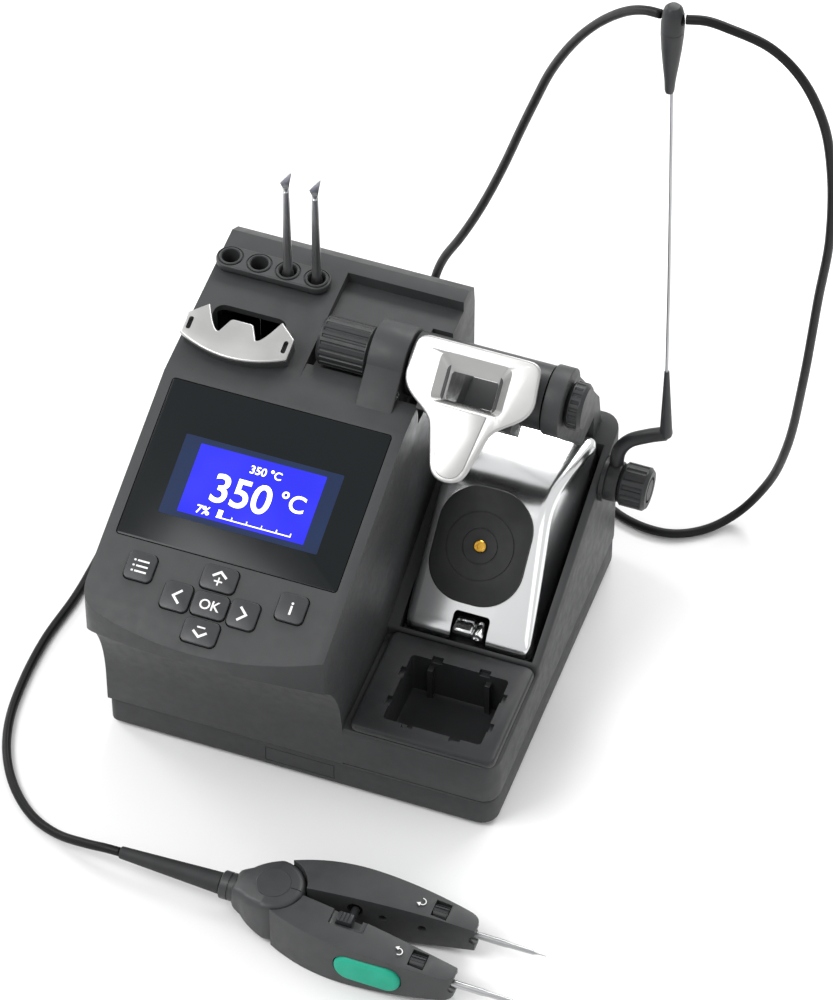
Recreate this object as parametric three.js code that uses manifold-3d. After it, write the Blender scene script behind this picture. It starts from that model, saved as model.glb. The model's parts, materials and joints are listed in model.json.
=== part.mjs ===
// Two-tool soldering station: a control unit with a tilted console, a stand with an adjustable
// tool holder, a lift-out cleaning tray, a cable arm, and a tweezers handpiece lying in front of it.
// Millimetres, +Z up, +X to the right of a person facing the console, +Y to the back.
import * as THREE from "three";
import { mergeVertices } from "three/addons/utils/BufferGeometryUtils.js";
import Module from "manifold-3d";

const wasm = await Module();
wasm.setup();

// ---------------------------------------------------------------- driving dimensions
const HALF_WIDTH = 78.5;                 // control unit, side to side
const FRONT_Y = -74;                     // foot of the front wall
const REAR_Y = 74;
const FOOT_HEIGHT = 2;
const SEAM_Z = 15;                       // joint between base tray and upper housing
const WALL = 2.6;
const GAP = 0.3;                         // clearance between pieces that touch

const CONSOLE_SLOPE = THREE.MathUtils.degToRad(21);
const BREAK_Y = -4;                      // where the console face meets the top face
const BREAK_Z = 128.5;
const TOP_Y = 67;                        // back edge of the top face
const TOP_Z = 135.3;
const LIP_Y = -101.3;                    // middle of the console's bulging front edge
const LIP_RADIUS = 137;
const LIP_MID_X = -32;
const CONSOLE_RIGHT = 17.5;
const CONSOLE_MID = (CONSOLE_RIGHT - HALF_WIDTH) / 2;
const DECK_Y = [8, 61];                  // lower deck beside the cartridge rail
const RIDGE_X = -29;

const BAY_FLOOR = 36;                    // floor of the stand's bay, right of the console
const BAY_REAR = [60, 81];               // top of the bay's back wall, Y and Z
const TRAY = { x0: 20, x1: 77.4, y0: -74, y1: -24.8, rim: 4, bottom: 19 };
const CUP = { x0: 31, x1: 70, y0: -67, y1: -34, wall: 1.5 };
const COVER = { x0: 23, x1: 74.5, y0: -22.5, y1: 58.5, z: 84, foot: 44.5 };
const COVER_SLOPE = THREE.MathUtils.degToRad(42);

const AXLE_Y = 27;                       // hinge axis of the tool holder, along X
const AXLE_Z = 133;
const STUD_RADIUS = 3;
const BOSS_RADIUS = 13.5;
const HOLDER_SLOPE = THREE.MathUtils.degToRad(38);
const HOLDER_MID = 37;
const HOLDER_HALF = 26.4;

const ARM_Y = 51;                        // hinge axis of the cable arm, along X
const ARM_Z = 69;
const ROD_RADIUS = 0.9;
const ROD_BOTTOM = new THREE.Vector3(98.6, 60, 126);
const ROD_TOP = new THREE.Vector3(94.9, 60, 270);
const CLIP = { x: 94, y: 60, z: 306, half: 4.3 };

const SOCKET = { x: -20, z: 52 };        // tool connector on the rear panel
const CABLE_RADIUS = 1.8;

const TOOL_END = new THREE.Vector3(-6, -140, 11.8);   // front of the strain relief, mid height
const TOOL_TURN = THREE.MathUtils.degToRad(-1.2);
const PIVOT_X = 21;                      // tweezers pivot, along the tool from TOOL_END
const TIP_Y = 11.8;                      // tip axis off the tool's centre line
const RELIEF_LENGTH = 41;

// The origin is under the middle of the whole set, so the control unit sits to one side of it.
const SET_CENTRE = new THREE.Vector3(19.8, -42.7, 0);

// ---------------------------------------------------------------- materials
const finish = {
  housing: [0x4b4c4d, 0.55, 0.0],
  base: [0x434445, 0.6, 0.0],
  blackPlastic: [0x2c2d2e, 0.5, 0.0],
  rubber: [0x1f2021, 0.85, 0.0],
  glass: [0x111214, 0.08, 0.0],
  lcd: [0x3d3bf0, 0.3, 0.0],
  circuit: [0x1f5c3a, 0.6, 0.0],
  copper: [0xa8672c, 0.35, 0.9],
  castMetal: [0xe2e2e0, 0.35, 0.9],
  chrome: [0xdcdddf, 0.08, 1.0],
  steel: [0xb9bbbd, 0.25, 1.0],
  brass: [0xc39b3f, 0.3, 1.0],
  grip: [0x1fb391, 0.6, 0.0],
  cable: [0x2a2a2b, 0.65, 0.0],
};

const station = new THREE.Group();
const tweezers = new THREE.Group();
tweezers.position.copy(TOOL_END);
tweezers.rotation.z = TOOL_TURN;
station.add(tweezers);

function add(name, shape, [color, roughness, metalness], parent = station) {
  const geometry = shape instanceof THREE.BufferGeometry ? shape : geometryOf(shape);
  const mesh = new THREE.Mesh(geometry, new THREE.MeshStandardMaterial({ color, roughness, metalness }));
  mesh.name = name;
  parent.add(mesh);
  return mesh;
}

// ---------------------------------------------------------------- solids
function solid(geometry) {
  const plain = geometry.clone();
  plain.deleteAttribute("normal");
  plain.deleteAttribute("uv");
  const merged = mergeVertices(plain, 1e-4);
  return new wasm.Manifold(new wasm.Mesh({
    numProp: 3,
    vertProperties: new Float32Array(merged.attributes.position.array),
    triVerts: new Uint32Array(merged.index.array),
  }));
}

function geometryOf(body) {
  const mesh = body.getMesh();
  const geometry = new THREE.BufferGeometry();
  geometry.setAttribute("position", new THREE.BufferAttribute(new Float32Array(mesh.vertProperties), 3));
  geometry.setIndex(new THREE.BufferAttribute(new Uint32Array(mesh.triVerts), 1));
  return geometry;
}

function join(...bodies) {
  return bodies.reduce((all, body) => all.add(body));
}

function cut(body, ...tools) {
  return tools.reduce((rest, tool) => rest.subtract(tool), body);
}

function outline(points) {
  return new THREE.Shape(points.map(([x, y]) => new THREE.Vector2(x, y)));
}

function roundedRect(width, height, radius, cx = 0, cy = 0) {
  const shape = new THREE.Shape();
  const x = width / 2 - radius;
  const y = height / 2 - radius;
  shape.absarc(cx + x, cy + y, radius, 0, Math.PI / 2);
  shape.absarc(cx - x, cy + y, radius, Math.PI / 2, Math.PI);
  shape.absarc(cx - x, cy - y, radius, Math.PI, 1.5 * Math.PI);
  shape.absarc(cx + x, cy - y, radius, 1.5 * Math.PI, 2 * Math.PI);
  return shape;
}

// An outline drawn in X and Y, raised along Z.
function upZ(shape, z0, z1, curveSegments = 4) {
  return new THREE.ExtrudeGeometry(shape, { depth: z1 - z0, bevelEnabled: false, curveSegments })
    .translate(0, 0, z0);
}

// An outline drawn in Y and Z, carried along X.
function acrossX(shape, x0, x1, curveSegments = 6) {
  const axes = new THREE.Matrix4().makeBasis(
    new THREE.Vector3(0, 1, 0), new THREE.Vector3(0, 0, 1), new THREE.Vector3(1, 0, 0));
  return upZ(shape, 0, x1 - x0, curveSegments).applyMatrix4(axes).translate(x0, 0, 0);
}

// An outline drawn in X and Z, carried back along Y.
function alongY(shape, y0, y1, curveSegments = 4) {
  return upZ(shape, -y1, -y0, curveSegments).rotateX(Math.PI / 2);
}

function box(x0, x1, y0, y1, z0, z1) {
  return new THREE.BoxGeometry(x1 - x0, y1 - y0, z1 - z0)
    .translate((x0 + x1) / 2, (y0 + y1) / 2, (z0 + z1) / 2);
}

// A round bar standing on the origin, and the same bar laid along X or Y.
function bar(radius, length, sides = 16, endRadius = radius) {
  return new THREE.CylinderGeometry(endRadius, radius, length, sides)
    .rotateX(Math.PI / 2).translate(0, 0, length / 2);
}

function barX(radius, x0, x1, y, z, sides = 16, endRadius = radius) {
  return bar(radius, x1 - x0, sides, endRadius).rotateY(Math.PI / 2).translate(x0, y, z);
}

function barY(radius, y0, y1, x, z, sides = 16, endRadius = radius) {
  return bar(radius, y1 - y0, sides, endRadius).rotateX(-Math.PI / 2).translate(x, y0, z);
}

// The console face as a work plane: X from its middle, Y up the slope from the break, Z proud of it.
function onConsole(geometry) {
  return geometry.clone().rotateX(CONSOLE_SLOPE).translate(CONSOLE_MID, BREAK_Y, BREAK_Z);
}

// The tool holder's face as a work plane, with its origin on the hinge axis.
function onHolder(geometry) {
  return geometry.clone().rotateX(HOLDER_SLOPE).translate(HOLDER_MID, AXLE_Y, AXLE_Z);
}

// The stand cover's front as a work plane, with its origin at the middle of its foot.
function onCover(geometry) {
  return geometry.clone().rotateX(COVER_SLOPE).translate((COVER.x0 + COVER.x1) / 2, COVER.y0 + 1, COVER.foot);
}

function consoleZ(y) {
  return BREAK_Z + (y - BREAK_Y) * Math.tan(CONSOLE_SLOPE);
}

function topZ(y) {
  return BREAK_Z + (y - BREAK_Y) * (TOP_Z - BREAK_Z) / (TOP_Y - BREAK_Y);
}

// ---------------------------------------------------------------- base
function basePlan() {
  const x = HALF_WIDTH - 0.5;
  const y = REAR_Y;
  const shape = new THREE.Shape();
  shape.absarc(x - 7, 7 - y, 7, -Math.PI / 2, 0);
  shape.absarc(x - 7, y - 7, 7, 0, Math.PI / 2);
  shape.absarc(3 - x, y - 3, 3, Math.PI / 2, Math.PI);
  shape.absarc(3 - x, 3 - y, 3, Math.PI, 1.5 * Math.PI);
  return shape;
}

function baseTray() {
  const length = REAR_Y - FRONT_Y;
  const width = 2 * HALF_WIDTH - 1;
  const outer = solid(upZ(basePlan(), FOOT_HEIGHT, SEAM_Z - GAP));
  const inner = solid(upZ(roundedRect(width - 2 * WALL, length - 2 * WALL, 6), FOOT_HEIGHT + WALL, SEAM_Z + 1));
  return cut(outer, inner);
}
add("base_tray", baseTray(), finish.base);

for (const [side, x] of [["left", -1], ["right", 1]]) {
  for (const [end, y] of [["front", -1], ["rear", 1]]) {
    const foot = add(`foot_${end}_${side}`, bar(7, FOOT_HEIGHT - GAP), finish.rubber);
    foot.position.set(x * (HALF_WIDTH - 16), y * (REAR_Y - 16), 0);
  }
}

// ---------------------------------------------------------------- upper housing
// Side outline of the console: upright foot, concave sweep up to the lip, console face, top face.
function consoleProfile(inset) {
  const drop = inset / Math.cos(CONSOLE_SLOPE);
  const foot = SEAM_Z - Math.sign(inset);
  const lip = LIP_Y + 3 * inset;
  const shape = new THREE.Shape();
  shape.moveTo(FRONT_Y + inset, foot);
  shape.lineTo(FRONT_Y + inset, 32);
  shape.quadraticCurveTo(FRONT_Y + inset - 1, 66, lip + 1, consoleZ(lip) - drop - 7 + 2 * inset);
  shape.lineTo(lip, consoleZ(lip) - drop);
  shape.lineTo(BREAK_Y, BREAK_Z - drop);
  shape.lineTo(TOP_Y - inset, TOP_Z - drop);
  shape.lineTo(REAR_Y - 1 - inset, TOP_Z - 4 - drop);
  shape.lineTo(REAR_Y - inset, TOP_Z - 12);
  shape.lineTo(REAR_Y - inset, foot);
  return shape;
}

// Plan of the console: straight sides, a round left corner and a front edge that bulges in an arc.
function consolePlan(inset) {
  const left = inset - HALF_WIDTH;
  const right = CONSOLE_RIGHT - inset;
  const radius = LIP_RADIUS - inset;
  const centreY = LIP_Y + LIP_RADIUS;
  const angleAt = (x) => -Math.acos((x - LIP_MID_X) / radius);
  const corner = left + 8;
  const shape = new THREE.Shape();
  shape.moveTo(left, REAR_Y);
  shape.lineTo(left, LIP_Y + 17);
  shape.quadraticCurveTo(left, LIP_Y + 8, corner, centreY + radius * Math.sin(angleAt(corner)));
  shape.absarc(LIP_MID_X, centreY, radius, angleAt(corner), angleAt(right));
  shape.lineTo(right, REAR_Y);
  return shape;
}

function consoleBody(inset) {
  const side = solid(acrossX(consoleProfile(inset), inset - HALF_WIDTH, CONSOLE_RIGHT - inset));
  return side.intersect(solid(upZ(consolePlan(inset), 0, TOP_Z + 5)));
}

// The bay beside the console: low in front for the tray, its side wall rising to the back.
function bayBody(inset) {
  const foot = SEAM_Z - Math.sign(inset);
  const step = TRAY.y1 + GAP + inset;
  const side = solid(acrossX(outline([
    [FRONT_Y + inset, foot],
    [FRONT_Y + inset, BAY_FLOOR - inset],
    [step, BAY_FLOOR - inset],
    [step, 41 - inset],
    [BAY_REAR[0], BAY_REAR[1] - 3 - inset],
    [REAR_Y - inset, BAY_REAR[1] - inset],
    [REAR_Y - inset, foot],
  ]), CONSOLE_RIGHT - WALL - 1, HALF_WIDTH - inset));
  const plan = roundedRect(2 * (HALF_WIDTH - inset), REAR_Y - FRONT_Y - 2 * inset, 7);
  return side.intersect(solid(upZ(plan, 0, TOP_Z)));
}

// The two hinge towers of the tool holder, each round about the axis with a web down to the housing.
const LEFT_TOWER = [-5, 9.5];
const RIGHT_TOWER = [64, 71];

function hingeTowers() {
  const leftWeb = outline([
    [-1, BREAK_Z - 2], [AXLE_Y + 9, BREAK_Z - 2], [AXLE_Y + 9, AXLE_Z + 10], [AXLE_Y - 4, AXLE_Z + 12.8],
  ]);
  const rightWeb = outline([
    [BAY_REAR[0] - 1, BAY_REAR[1] - 7], [REAR_Y - 3, BAY_REAR[1] - 7], [REAR_Y - 8, BAY_REAR[1] + 16],
    [AXLE_Y + 6, AXLE_Z + 12], [AXLE_Y - 8, AXLE_Z - 10.8],
  ]);
  return [
    solid(barX(BOSS_RADIUS, ...LEFT_TOWER, AXLE_Y, AXLE_Z, 24)),
    solid(acrossX(leftWeb, ...LEFT_TOWER)),
    solid(barX(BOSS_RADIUS, ...RIGHT_TOWER, AXLE_Y, AXLE_Z, 24)),
    solid(acrossX(rightWeb, ...RIGHT_TOWER)),
  ];
}

const GLASS = { width: 87, height: 64.5, v: -34.4, thick: 1.5 };
const LCD = { u: 0.3, v: -38.3, width: 62.7, height: 32.5 };
const BUTTONS = [
  ["menu", -29.8, -77.2, 11, 11],
  ["info", 29.8, -77.2, 11, 11],
  ["up", 0.2, -73.7, 13.6, 9.6],
  ["ok", 0.2, -84.5, 13.6, 9.6],
  ["down", 0.2, -95.3, 13.6, 9.6],
  ["left", -13, -84.5, 11, 11],
  ["right", 13.4, -84.5, 11, 11],
];
const BUTTON_DEPTH = 3.4;
const MAT = { half: 38, v0: -95, v1: -64, top: -BUTTON_DEPTH - 0.8, thick: 1 };

const RAIL = { x: -73, pitch: 11.6, count: 4, y: 51.5, rise: 3, half: 5.6, hole: 3.5, sleeve: 4.4, depth: 26 };
const EXTRACTOR = { x: -56, y: 10, z: 134, slope: THREE.MathUtils.degToRad(14) };
const REAR_OPENING = { x0: -70, x1: 10, z0: 20, z1: 112 };

function railX(index) {
  return RAIL.x + index * RAIL.pitch;
}

function onExtractor(geometry) {
  return geometry.clone().rotateX(EXTRACTOR.slope).translate(EXTRACTOR.x, EXTRACTOR.y, EXTRACTOR.z);
}

// The block that carries the extractor plate has a bowed front and two chamfered back corners.
function extractorBlock() {
  const shape = new THREE.Shape();
  shape.moveTo(-21, 0.5);
  shape.quadraticCurveTo(0, -10, 21, 0.5);
  shape.lineTo(21, 9);
  shape.lineTo(15, 15);
  shape.lineTo(-15, 15);
  shape.lineTo(-21, 9);
  return shape;
}

function coverPlan(margin) {
  return outline([
    [COVER.x0 - margin, COVER.y0 - margin], [COVER.x1 + margin, COVER.y0 - margin],
    [COVER.x1 + margin, COVER.y1 + margin], [COVER.x0 - margin, COVER.y1 + margin],
  ]);
}

function housing() {
  const deck = solid(box(RIDGE_X, CONSOLE_RIGHT + 1, ...DECK_Y, topZ(DECK_Y[0]), TOP_Z + 5));
  const knobHollow = solid(box(RIDGE_X, LEFT_TOWER[0] - GAP, AXLE_Y - 11, AXLE_Y + 11, 121.5, TOP_Z + 5));
  const holderHollow = solid(box(LEFT_TOWER[1], CONSOLE_RIGHT + 1, DECK_Y[0] + 2, DECK_Y[1] - 12, 119.6, TOP_Z + 5));
  const outer = join(
    cut(consoleBody(0), deck, knobHollow, holderHollow),
    bayBody(0),
    ...hingeTowers(),
    solid(onExtractor(upZ(extractorBlock(), -9, 0))),
  );
  const inner = cut(
    join(consoleBody(WALL), bayBody(WALL)),
    solid(box(RIDGE_X - WALL, CONSOLE_RIGHT, DECK_Y[0] - WALL, DECK_Y[1] + WALL, 118, TOP_Z)),
    solid(box(-75, -38, 8, 30, 112, TOP_Z)),
    solid(box(CONSOLE_RIGHT - WALL, HALF_WIDTH, TRAY.y1 - 3, BAY_REAR[0] + 2, BAY_FLOOR - WALL, TOP_Z)),
  );
  const openings = [
    box(-71, -42, 12.5, 26.5, 116, TOP_Z + 10),
    box(REAR_OPENING.x0, REAR_OPENING.x1, REAR_Y - 4, REAR_Y + 1, REAR_OPENING.z0, REAR_OPENING.z1),
    upZ(coverPlan(1), BAY_FLOOR, BAY_REAR[1] + 10),
    box(CUP.x0 - 2, CUP.x1 + 2, CUP.y0 - 2, CUP.y1 + 2, BAY_FLOOR - 6, BAY_FLOOR + 1),
    onConsole(upZ(roundedRect(GLASS.width + 0.6, GLASS.height + 0.6, 1.5, 0, GLASS.v), -GLASS.thick - GAP, 5)),
    onConsole(upZ(roundedRect(LCD.width + 4, LCD.height + 4, 1, LCD.u, LCD.v), -8, 0)),
    onConsole(box(-MAT.half - 0.6, MAT.half + 0.6, MAT.v0 - 0.6, MAT.v1 + 0.6, MAT.top - MAT.thick - 0.3, -WALL)),
    barX(STUD_RADIUS + GAP, LEFT_TOWER[0] - 1, LEFT_TOWER[1] + 1, AXLE_Y, AXLE_Z),
    barX(STUD_RADIUS + GAP, RIGHT_TOWER[0] - 1, RIGHT_TOWER[1] + 1, AXLE_Y, AXLE_Z),
    barX(STUD_RADIUS + GAP, HALF_WIDTH - 10, HALF_WIDTH + 1, ARM_Y, ARM_Z),
  ];
  for (const [, u, v, width, height] of BUTTONS) {
    openings.push(onConsole(upZ(roundedRect(width + 0.7, height + 0.7, 2.4, u, v), MAT.top, 3, 2)));
  }
  for (let i = 0; i < RAIL.count; i += 1) {
    openings.push(bar(RAIL.sleeve + 0.4, 32, 16).translate(railX(i), RAIL.y, TOP_Z - 27));
  }
  return cut(outer, inner, ...openings.map(solid));
}
add("main_housing", housing(), finish.housing);

// ---------------------------------------------------------------- console parts
function displayGlass() {
  const sheet = roundedRect(GLASS.width, GLASS.height, 1.2, 0, GLASS.v);
  return solid(onConsole(upZ(sheet, -GLASS.thick, 0, 2)));
}
add("display_glass", displayGlass(), finish.glass);

function lcdModule() {
  const sheet = roundedRect(LCD.width + 2, LCD.height + 2, 0.8, LCD.u, LCD.v);
  return solid(onConsole(upZ(sheet, -4.8, -GLASS.thick - GAP, 2)));
}
add("lcd_module", lcdModule(), finish.lcd);

const MAT_FOOT = MAT.top - MAT.thick;
add("keypad_mat", solid(onConsole(box(-MAT.half, MAT.half, MAT.v0, MAT.v1, MAT_FOOT, MAT.top))), finish.rubber);
add("display_board", solid(onConsole(box(-38, 38, -84, -8, MAT_FOOT - 1.9, MAT_FOOT - GAP))), finish.circuit);

for (const [name, u, v, width, height] of BUTTONS) {
  const cap = roundedRect(width, height, 2.2, u, v);
  add(`button_${name}`, onConsole(upZ(cap, -BUTTON_DEPTH, 1.2, 2)), finish.blackPlastic);
}

// ---------------------------------------------------------------- cartridges and their extractor
function cartridgeRail() {
  const length = (RAIL.count - 1) * RAIL.pitch;
  const foot = topZ(RAIL.y + RAIL.half) + GAP;
  const plan = roundedRect(length + 2 * RAIL.half, 2 * RAIL.half, RAIL.half - 0.1, RAIL.x + length / 2, RAIL.y);
  const top = foot + RAIL.rise;
  const sleeves = [];
  const holes = [];
  for (let i = 0; i < RAIL.count; i += 1) {
    sleeves.push(solid(bar(RAIL.sleeve, RAIL.depth + 0.8, 16).translate(railX(i), RAIL.y, top - RAIL.depth)));
    holes.push(solid(bar(RAIL.hole, RAIL.depth, 16).translate(railX(i), RAIL.y, top - RAIL.depth + 2)));
  }
  return cut(join(solid(upZ(plan, foot, top)), ...sleeves), ...holes);
}
add("cartridge_rail", cartridgeRail(), finish.housing);

// A spare cartridge: connector end, collar, slim shaft and a bevelled blade.
function spareCartridge() {
  const half = [[0, 0], [2.4, 0], [2.4, 22], [1.5, 24], [1.4, 60], [1.0, 68], [0.5, 71], [0, 71]];
  return new THREE.LatheGeometry(half.map(([r, z]) => new THREE.Vector2(r, z)), 12).rotateX(Math.PI / 2);
}
for (const index of [2, 3]) {
  const cartridge = add(`spare_cartridge_${index - 1}`, spareCartridge(), finish.steel);
  cartridge.position.set(railX(index), RAIL.y, topZ(RAIL.y) - RAIL.depth + 6.6);
}

function extractorPlate() {
  const shape = new THREE.Shape();
  shape.moveTo(-21.5, 0);
  shape.quadraticCurveTo(0, -11, 21.5, 0);
  shape.lineTo(21.5, 9);
  shape.lineTo(14.5, 15);
  shape.lineTo(9, 4);
  shape.lineTo(7.6, 4);
  shape.lineTo(4.6, 10.8);
  shape.lineTo(-4.6, 10.8);
  shape.lineTo(-7.6, 4);
  shape.lineTo(-9, 4);
  shape.lineTo(-14.5, 15);
  shape.lineTo(-21.5, 9);
  for (const u of [-19, 19]) {
    shape.holes.push(roundedRect(1.8, 5.4, 0.8, u, 4.8));
  }
  return solid(onExtractor(upZ(shape, GAP, 2.4, 3)));
}
add("cartridge_extractor", extractorPlate(), finish.castMetal);

// ---------------------------------------------------------------- stand
// The chrome cover is a bent shell, open below: steep front, flat top, with a slot in its foot.
function coverProfile(inset) {
  const y0 = COVER.y0 + inset;
  const run = (COVER.z - COVER.foot) / Math.tan(COVER_SLOPE);
  const foot = BAY_FLOOR + GAP - Math.sign(inset);
  const shape = new THREE.Shape();
  shape.moveTo(y0, foot);
  shape.lineTo(y0 + 1, COVER.foot - inset / 2);
  shape.lineTo(y0 + run - 8, COVER.z - 8 - inset / 2);
  shape.quadraticCurveTo(y0 + run, COVER.z - inset, y0 + run + 11, COVER.z - inset);
  shape.lineTo(COVER.y1 - inset, COVER.z - inset);
  shape.lineTo(COVER.y1 - inset, foot);
  return shape;
}

const COVER_WALL = 1.6;
const SLOT = { x0: 41.5, x1: 56, top: 50 };

// The cover's right wall leans in, more at the front than at the back.
const COVER_SIDE = { normal: new THREE.Vector3(0.9065, -0.1956, 0.3742).normalize(), distance: 87.6 };

function coverSide(inset) {
  const turn = new THREE.Quaternion().setFromUnitVectors(new THREE.Vector3(1, 0, 0), COVER_SIDE.normal);
  const offset = COVER_SIDE.normal.clone().multiplyScalar(COVER_SIDE.distance - inset);
  return solid(
    new THREE.BoxGeometry(60, 260, 260).translate(30, 0, 0).applyQuaternion(turn)
      .translate(offset.x, offset.y, offset.z));
}

function standCover() {
  const [outer, inner] = [0, COVER_WALL].map((inset) =>
    cut(solid(acrossX(coverProfile(inset), COVER.x0 + inset, COVER.x1 - inset)), coverSide(inset)));
  return cut(
    outer, inner,
    solid(box(SLOT.x0, SLOT.x1, COVER.y0 - 2, COVER.y0 + 9, 0, SLOT.top)),
  );
}
add("stand_cover", standCover(), finish.chrome);

const PAD = { u: -2.8, v: 34, width: 40.8, height: 47.5, thick: 1.4 };

function padShape() {
  return roundedRect(PAD.width, PAD.height, 17, PAD.u, PAD.v);
}
add("stand_pad", solid(onCover(upZ(padShape(), 0.8, 0.8 + PAD.thick))), finish.rubber);
add("pad_screw", solid(onCover(bar(2.4, 1.4, 12).translate(PAD.u, PAD.v, 0.8 + PAD.thick + GAP))), finish.brass);

function latchBlock() {
  return join(
    solid(box(43, 51, -20, -15, BAY_FLOOR + GAP, 44)),
    solid(barY(2.4, -21, -15, 52.6, 42, 12)),
  );
}
add("cover_latch", latchBlock(), finish.steel);

// ---------------------------------------------------------------- cleaning tray
function cleaningTray() {
  const mid = (a, b) => (a + b) / 2;
  const rim = roundedRect(TRAY.x1 - TRAY.x0, TRAY.y1 - TRAY.y0, 3, mid(TRAY.x0, TRAY.x1), mid(TRAY.y0, TRAY.y1));
  const well = (margin) => roundedRect(
    CUP.x1 - CUP.x0 + 2 * margin, CUP.y1 - CUP.y0 + 2 * margin, 1.5 + margin,
    mid(CUP.x0, CUP.x1), mid(CUP.y0, CUP.y1));
  const top = BAY_FLOOR + GAP + TRAY.rim;
  return cut(
    join(
      solid(upZ(rim, BAY_FLOOR + GAP, top, 3)),
      solid(upZ(well(CUP.wall), TRAY.bottom, BAY_FLOOR + 1, 3)),
    ),
    solid(upZ(well(0), TRAY.bottom + CUP.wall, top + 1, 3)),
  );
}
add("cleaning_tray", cleaningTray(), finish.blackPlastic);

// ---------------------------------------------------------------- tool holder
const WINDOW = { half: 9.7, s0: -11.5, s1: -1 };
const PLATE_FOOT = 15.2;
const PLATE_THICK = 2.4;

// The holder's body: a barrel about the axis with a block under the metal face, pierced for the tool.
function holderBody() {
  const x0 = HOLDER_MID - HOLDER_HALF;
  const x1 = HOLDER_MID + HOLDER_HALF;
  const barrel = solid(barX(12.6, x0, x1, AXLE_Y, AXLE_Z, 24));
  const block = solid(onHolder(box(-18.5, 18.5, -17, 8, -2, PLATE_FOOT - GAP)));
  const passage = solid(onHolder(box(-WINDOW.half, WINDOW.half, WINDOW.s0, 6, -20, 20)));
  const bores = [[x0 - 1, x0 + 9], [x1 - 9, x1 + 1]]
    .map((span) => solid(barX(STUD_RADIUS + GAP, ...span, AXLE_Y, AXLE_Z)));
  return cut(join(barrel, block), passage, ...bores);
}
add("holder_body", holderBody(), finish.blackPlastic);

// The metal face: a wide frame round the window, drawn in to a tongue that guides the tool.
function holderFace() {
  const shape = new THREE.Shape();
  shape.moveTo(-24.5, 8);
  shape.lineTo(-25.3, -4);
  shape.bezierCurveTo(-25.3, -14, -13, -15, -11.2, -22);
  shape.lineTo(-7.6, -35);
  shape.quadraticCurveTo(-6, -41, 0, -41);
  shape.quadraticCurveTo(6, -41, 7.6, -35);
  shape.lineTo(11.2, -22);
  shape.bezierCurveTo(13, -15, 25.3, -14, 25.3, -4);
  shape.lineTo(24.5, 8);
  shape.quadraticCurveTo(24.3, 10.6, 22, 10.6);
  shape.lineTo(-22, 10.6);
  shape.quadraticCurveTo(-24.3, 10.6, -24.5, 8);
  const window = new THREE.Path(outline([
    [-11, WINDOW.s0 - 1], [11, WINDOW.s0 - 1], [11, 1.5], [-11, 1.5],
  ]).getPoints());
  shape.holes.push(window);
  return solid(onHolder(upZ(shape, PLATE_FOOT, PLATE_FOOT + PLATE_THICK, 5)));
}
add("holder_face", holderFace(), finish.castMetal);

// A clamp knob is moulded on its stud: grip outside the tower, stud through it into the holder.
function clampKnob(grip, stud, radius) {
  return join(
    solid(barX(radius, ...grip, AXLE_Y, AXLE_Z, 24)),
    solid(barX(STUD_RADIUS, ...stud, AXLE_Y, AXLE_Z)),
  );
}
add("left_clamp_knob", clampKnob([-26.5, -5.8], [-6, 17], 9.6), finish.blackPlastic);
add("right_clamp_knob", clampKnob([71.5, 78], [56, 72], 9.2), finish.blackPlastic);

// ---------------------------------------------------------------- cable arm
const LUG = { x0: 80, x1: 85.5 };

function cableArm() {
  const lug = join(
    solid(barX(8, LUG.x0, LUG.x1, ARM_Y, ARM_Z, 20)),
    solid(barX(9, HALF_WIDTH + GAP, LUG.x0 + 0.4, ARM_Y, ARM_Z, 20)),
  );
  const bore = solid(barX(STUD_RADIUS + GAP, HALF_WIDTH - 1, LUG.x1 + 1, ARM_Y, ARM_Z));
  const curve = new THREE.CatmullRomCurve3([
    new THREE.Vector3(LUG.x0 + 2.7, ARM_Y + 2, ARM_Z + 5),
    new THREE.Vector3(LUG.x0 + 3, 55, 82.5),
    new THREE.Vector3(90, 57.5, 88),
    new THREE.Vector3(98.3, 60, 93),
    new THREE.Vector3(99.4, 60, 102),
    ROD_BOTTOM,
  ]);
  const limb = solid(new THREE.ExtrudeGeometry(roundedRect(5, 6, 1.8), {
    extrudePath: curve, steps: 14, curveSegments: 2, bevelEnabled: false,
  }));
  const seat = new THREE.CatmullRomCurve3([
    ROD_BOTTOM.clone().lerp(ROD_TOP, -0.08), ROD_BOTTOM.clone().lerp(ROD_TOP, 0.1),
  ]);
  const rodHole = solid(new THREE.ExtrudeGeometry(roundedRect(2.4, 2.4, 1.1), {
    extrudePath: seat, steps: 1, curveSegments: 2, bevelEnabled: false,
  }));
  return cut(join(lug, limb), bore, rodHole);
}
add("cable_arm", cableArm(), finish.blackPlastic);
add("arm_knob", join(
  solid(barX(8.6, LUG.x1 + GAP, 97, ARM_Y, ARM_Z, 24)),
  solid(barX(STUD_RADIUS, HALF_WIDTH - 2.4, LUG.x1 + 1, ARM_Y, ARM_Z)),
), finish.blackPlastic);

// The spring wire is seated in the arm at its foot and in the clip at its head.
function springRod() {
  const span = ROD_TOP.clone().sub(ROD_BOTTOM);
  const foot = ROD_BOTTOM.clone().addScaledVector(span, -0.06);
  const length = span.length() * 1.12;
  const turn = new THREE.Quaternion().setFromUnitVectors(new THREE.Vector3(0, 0, 1), span.normalize());
  return bar(ROD_RADIUS, length, 8).applyQuaternion(turn).translate(foot.x, foot.y, foot.z);
}
add("spring_rod", springRod(), finish.steel);

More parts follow.
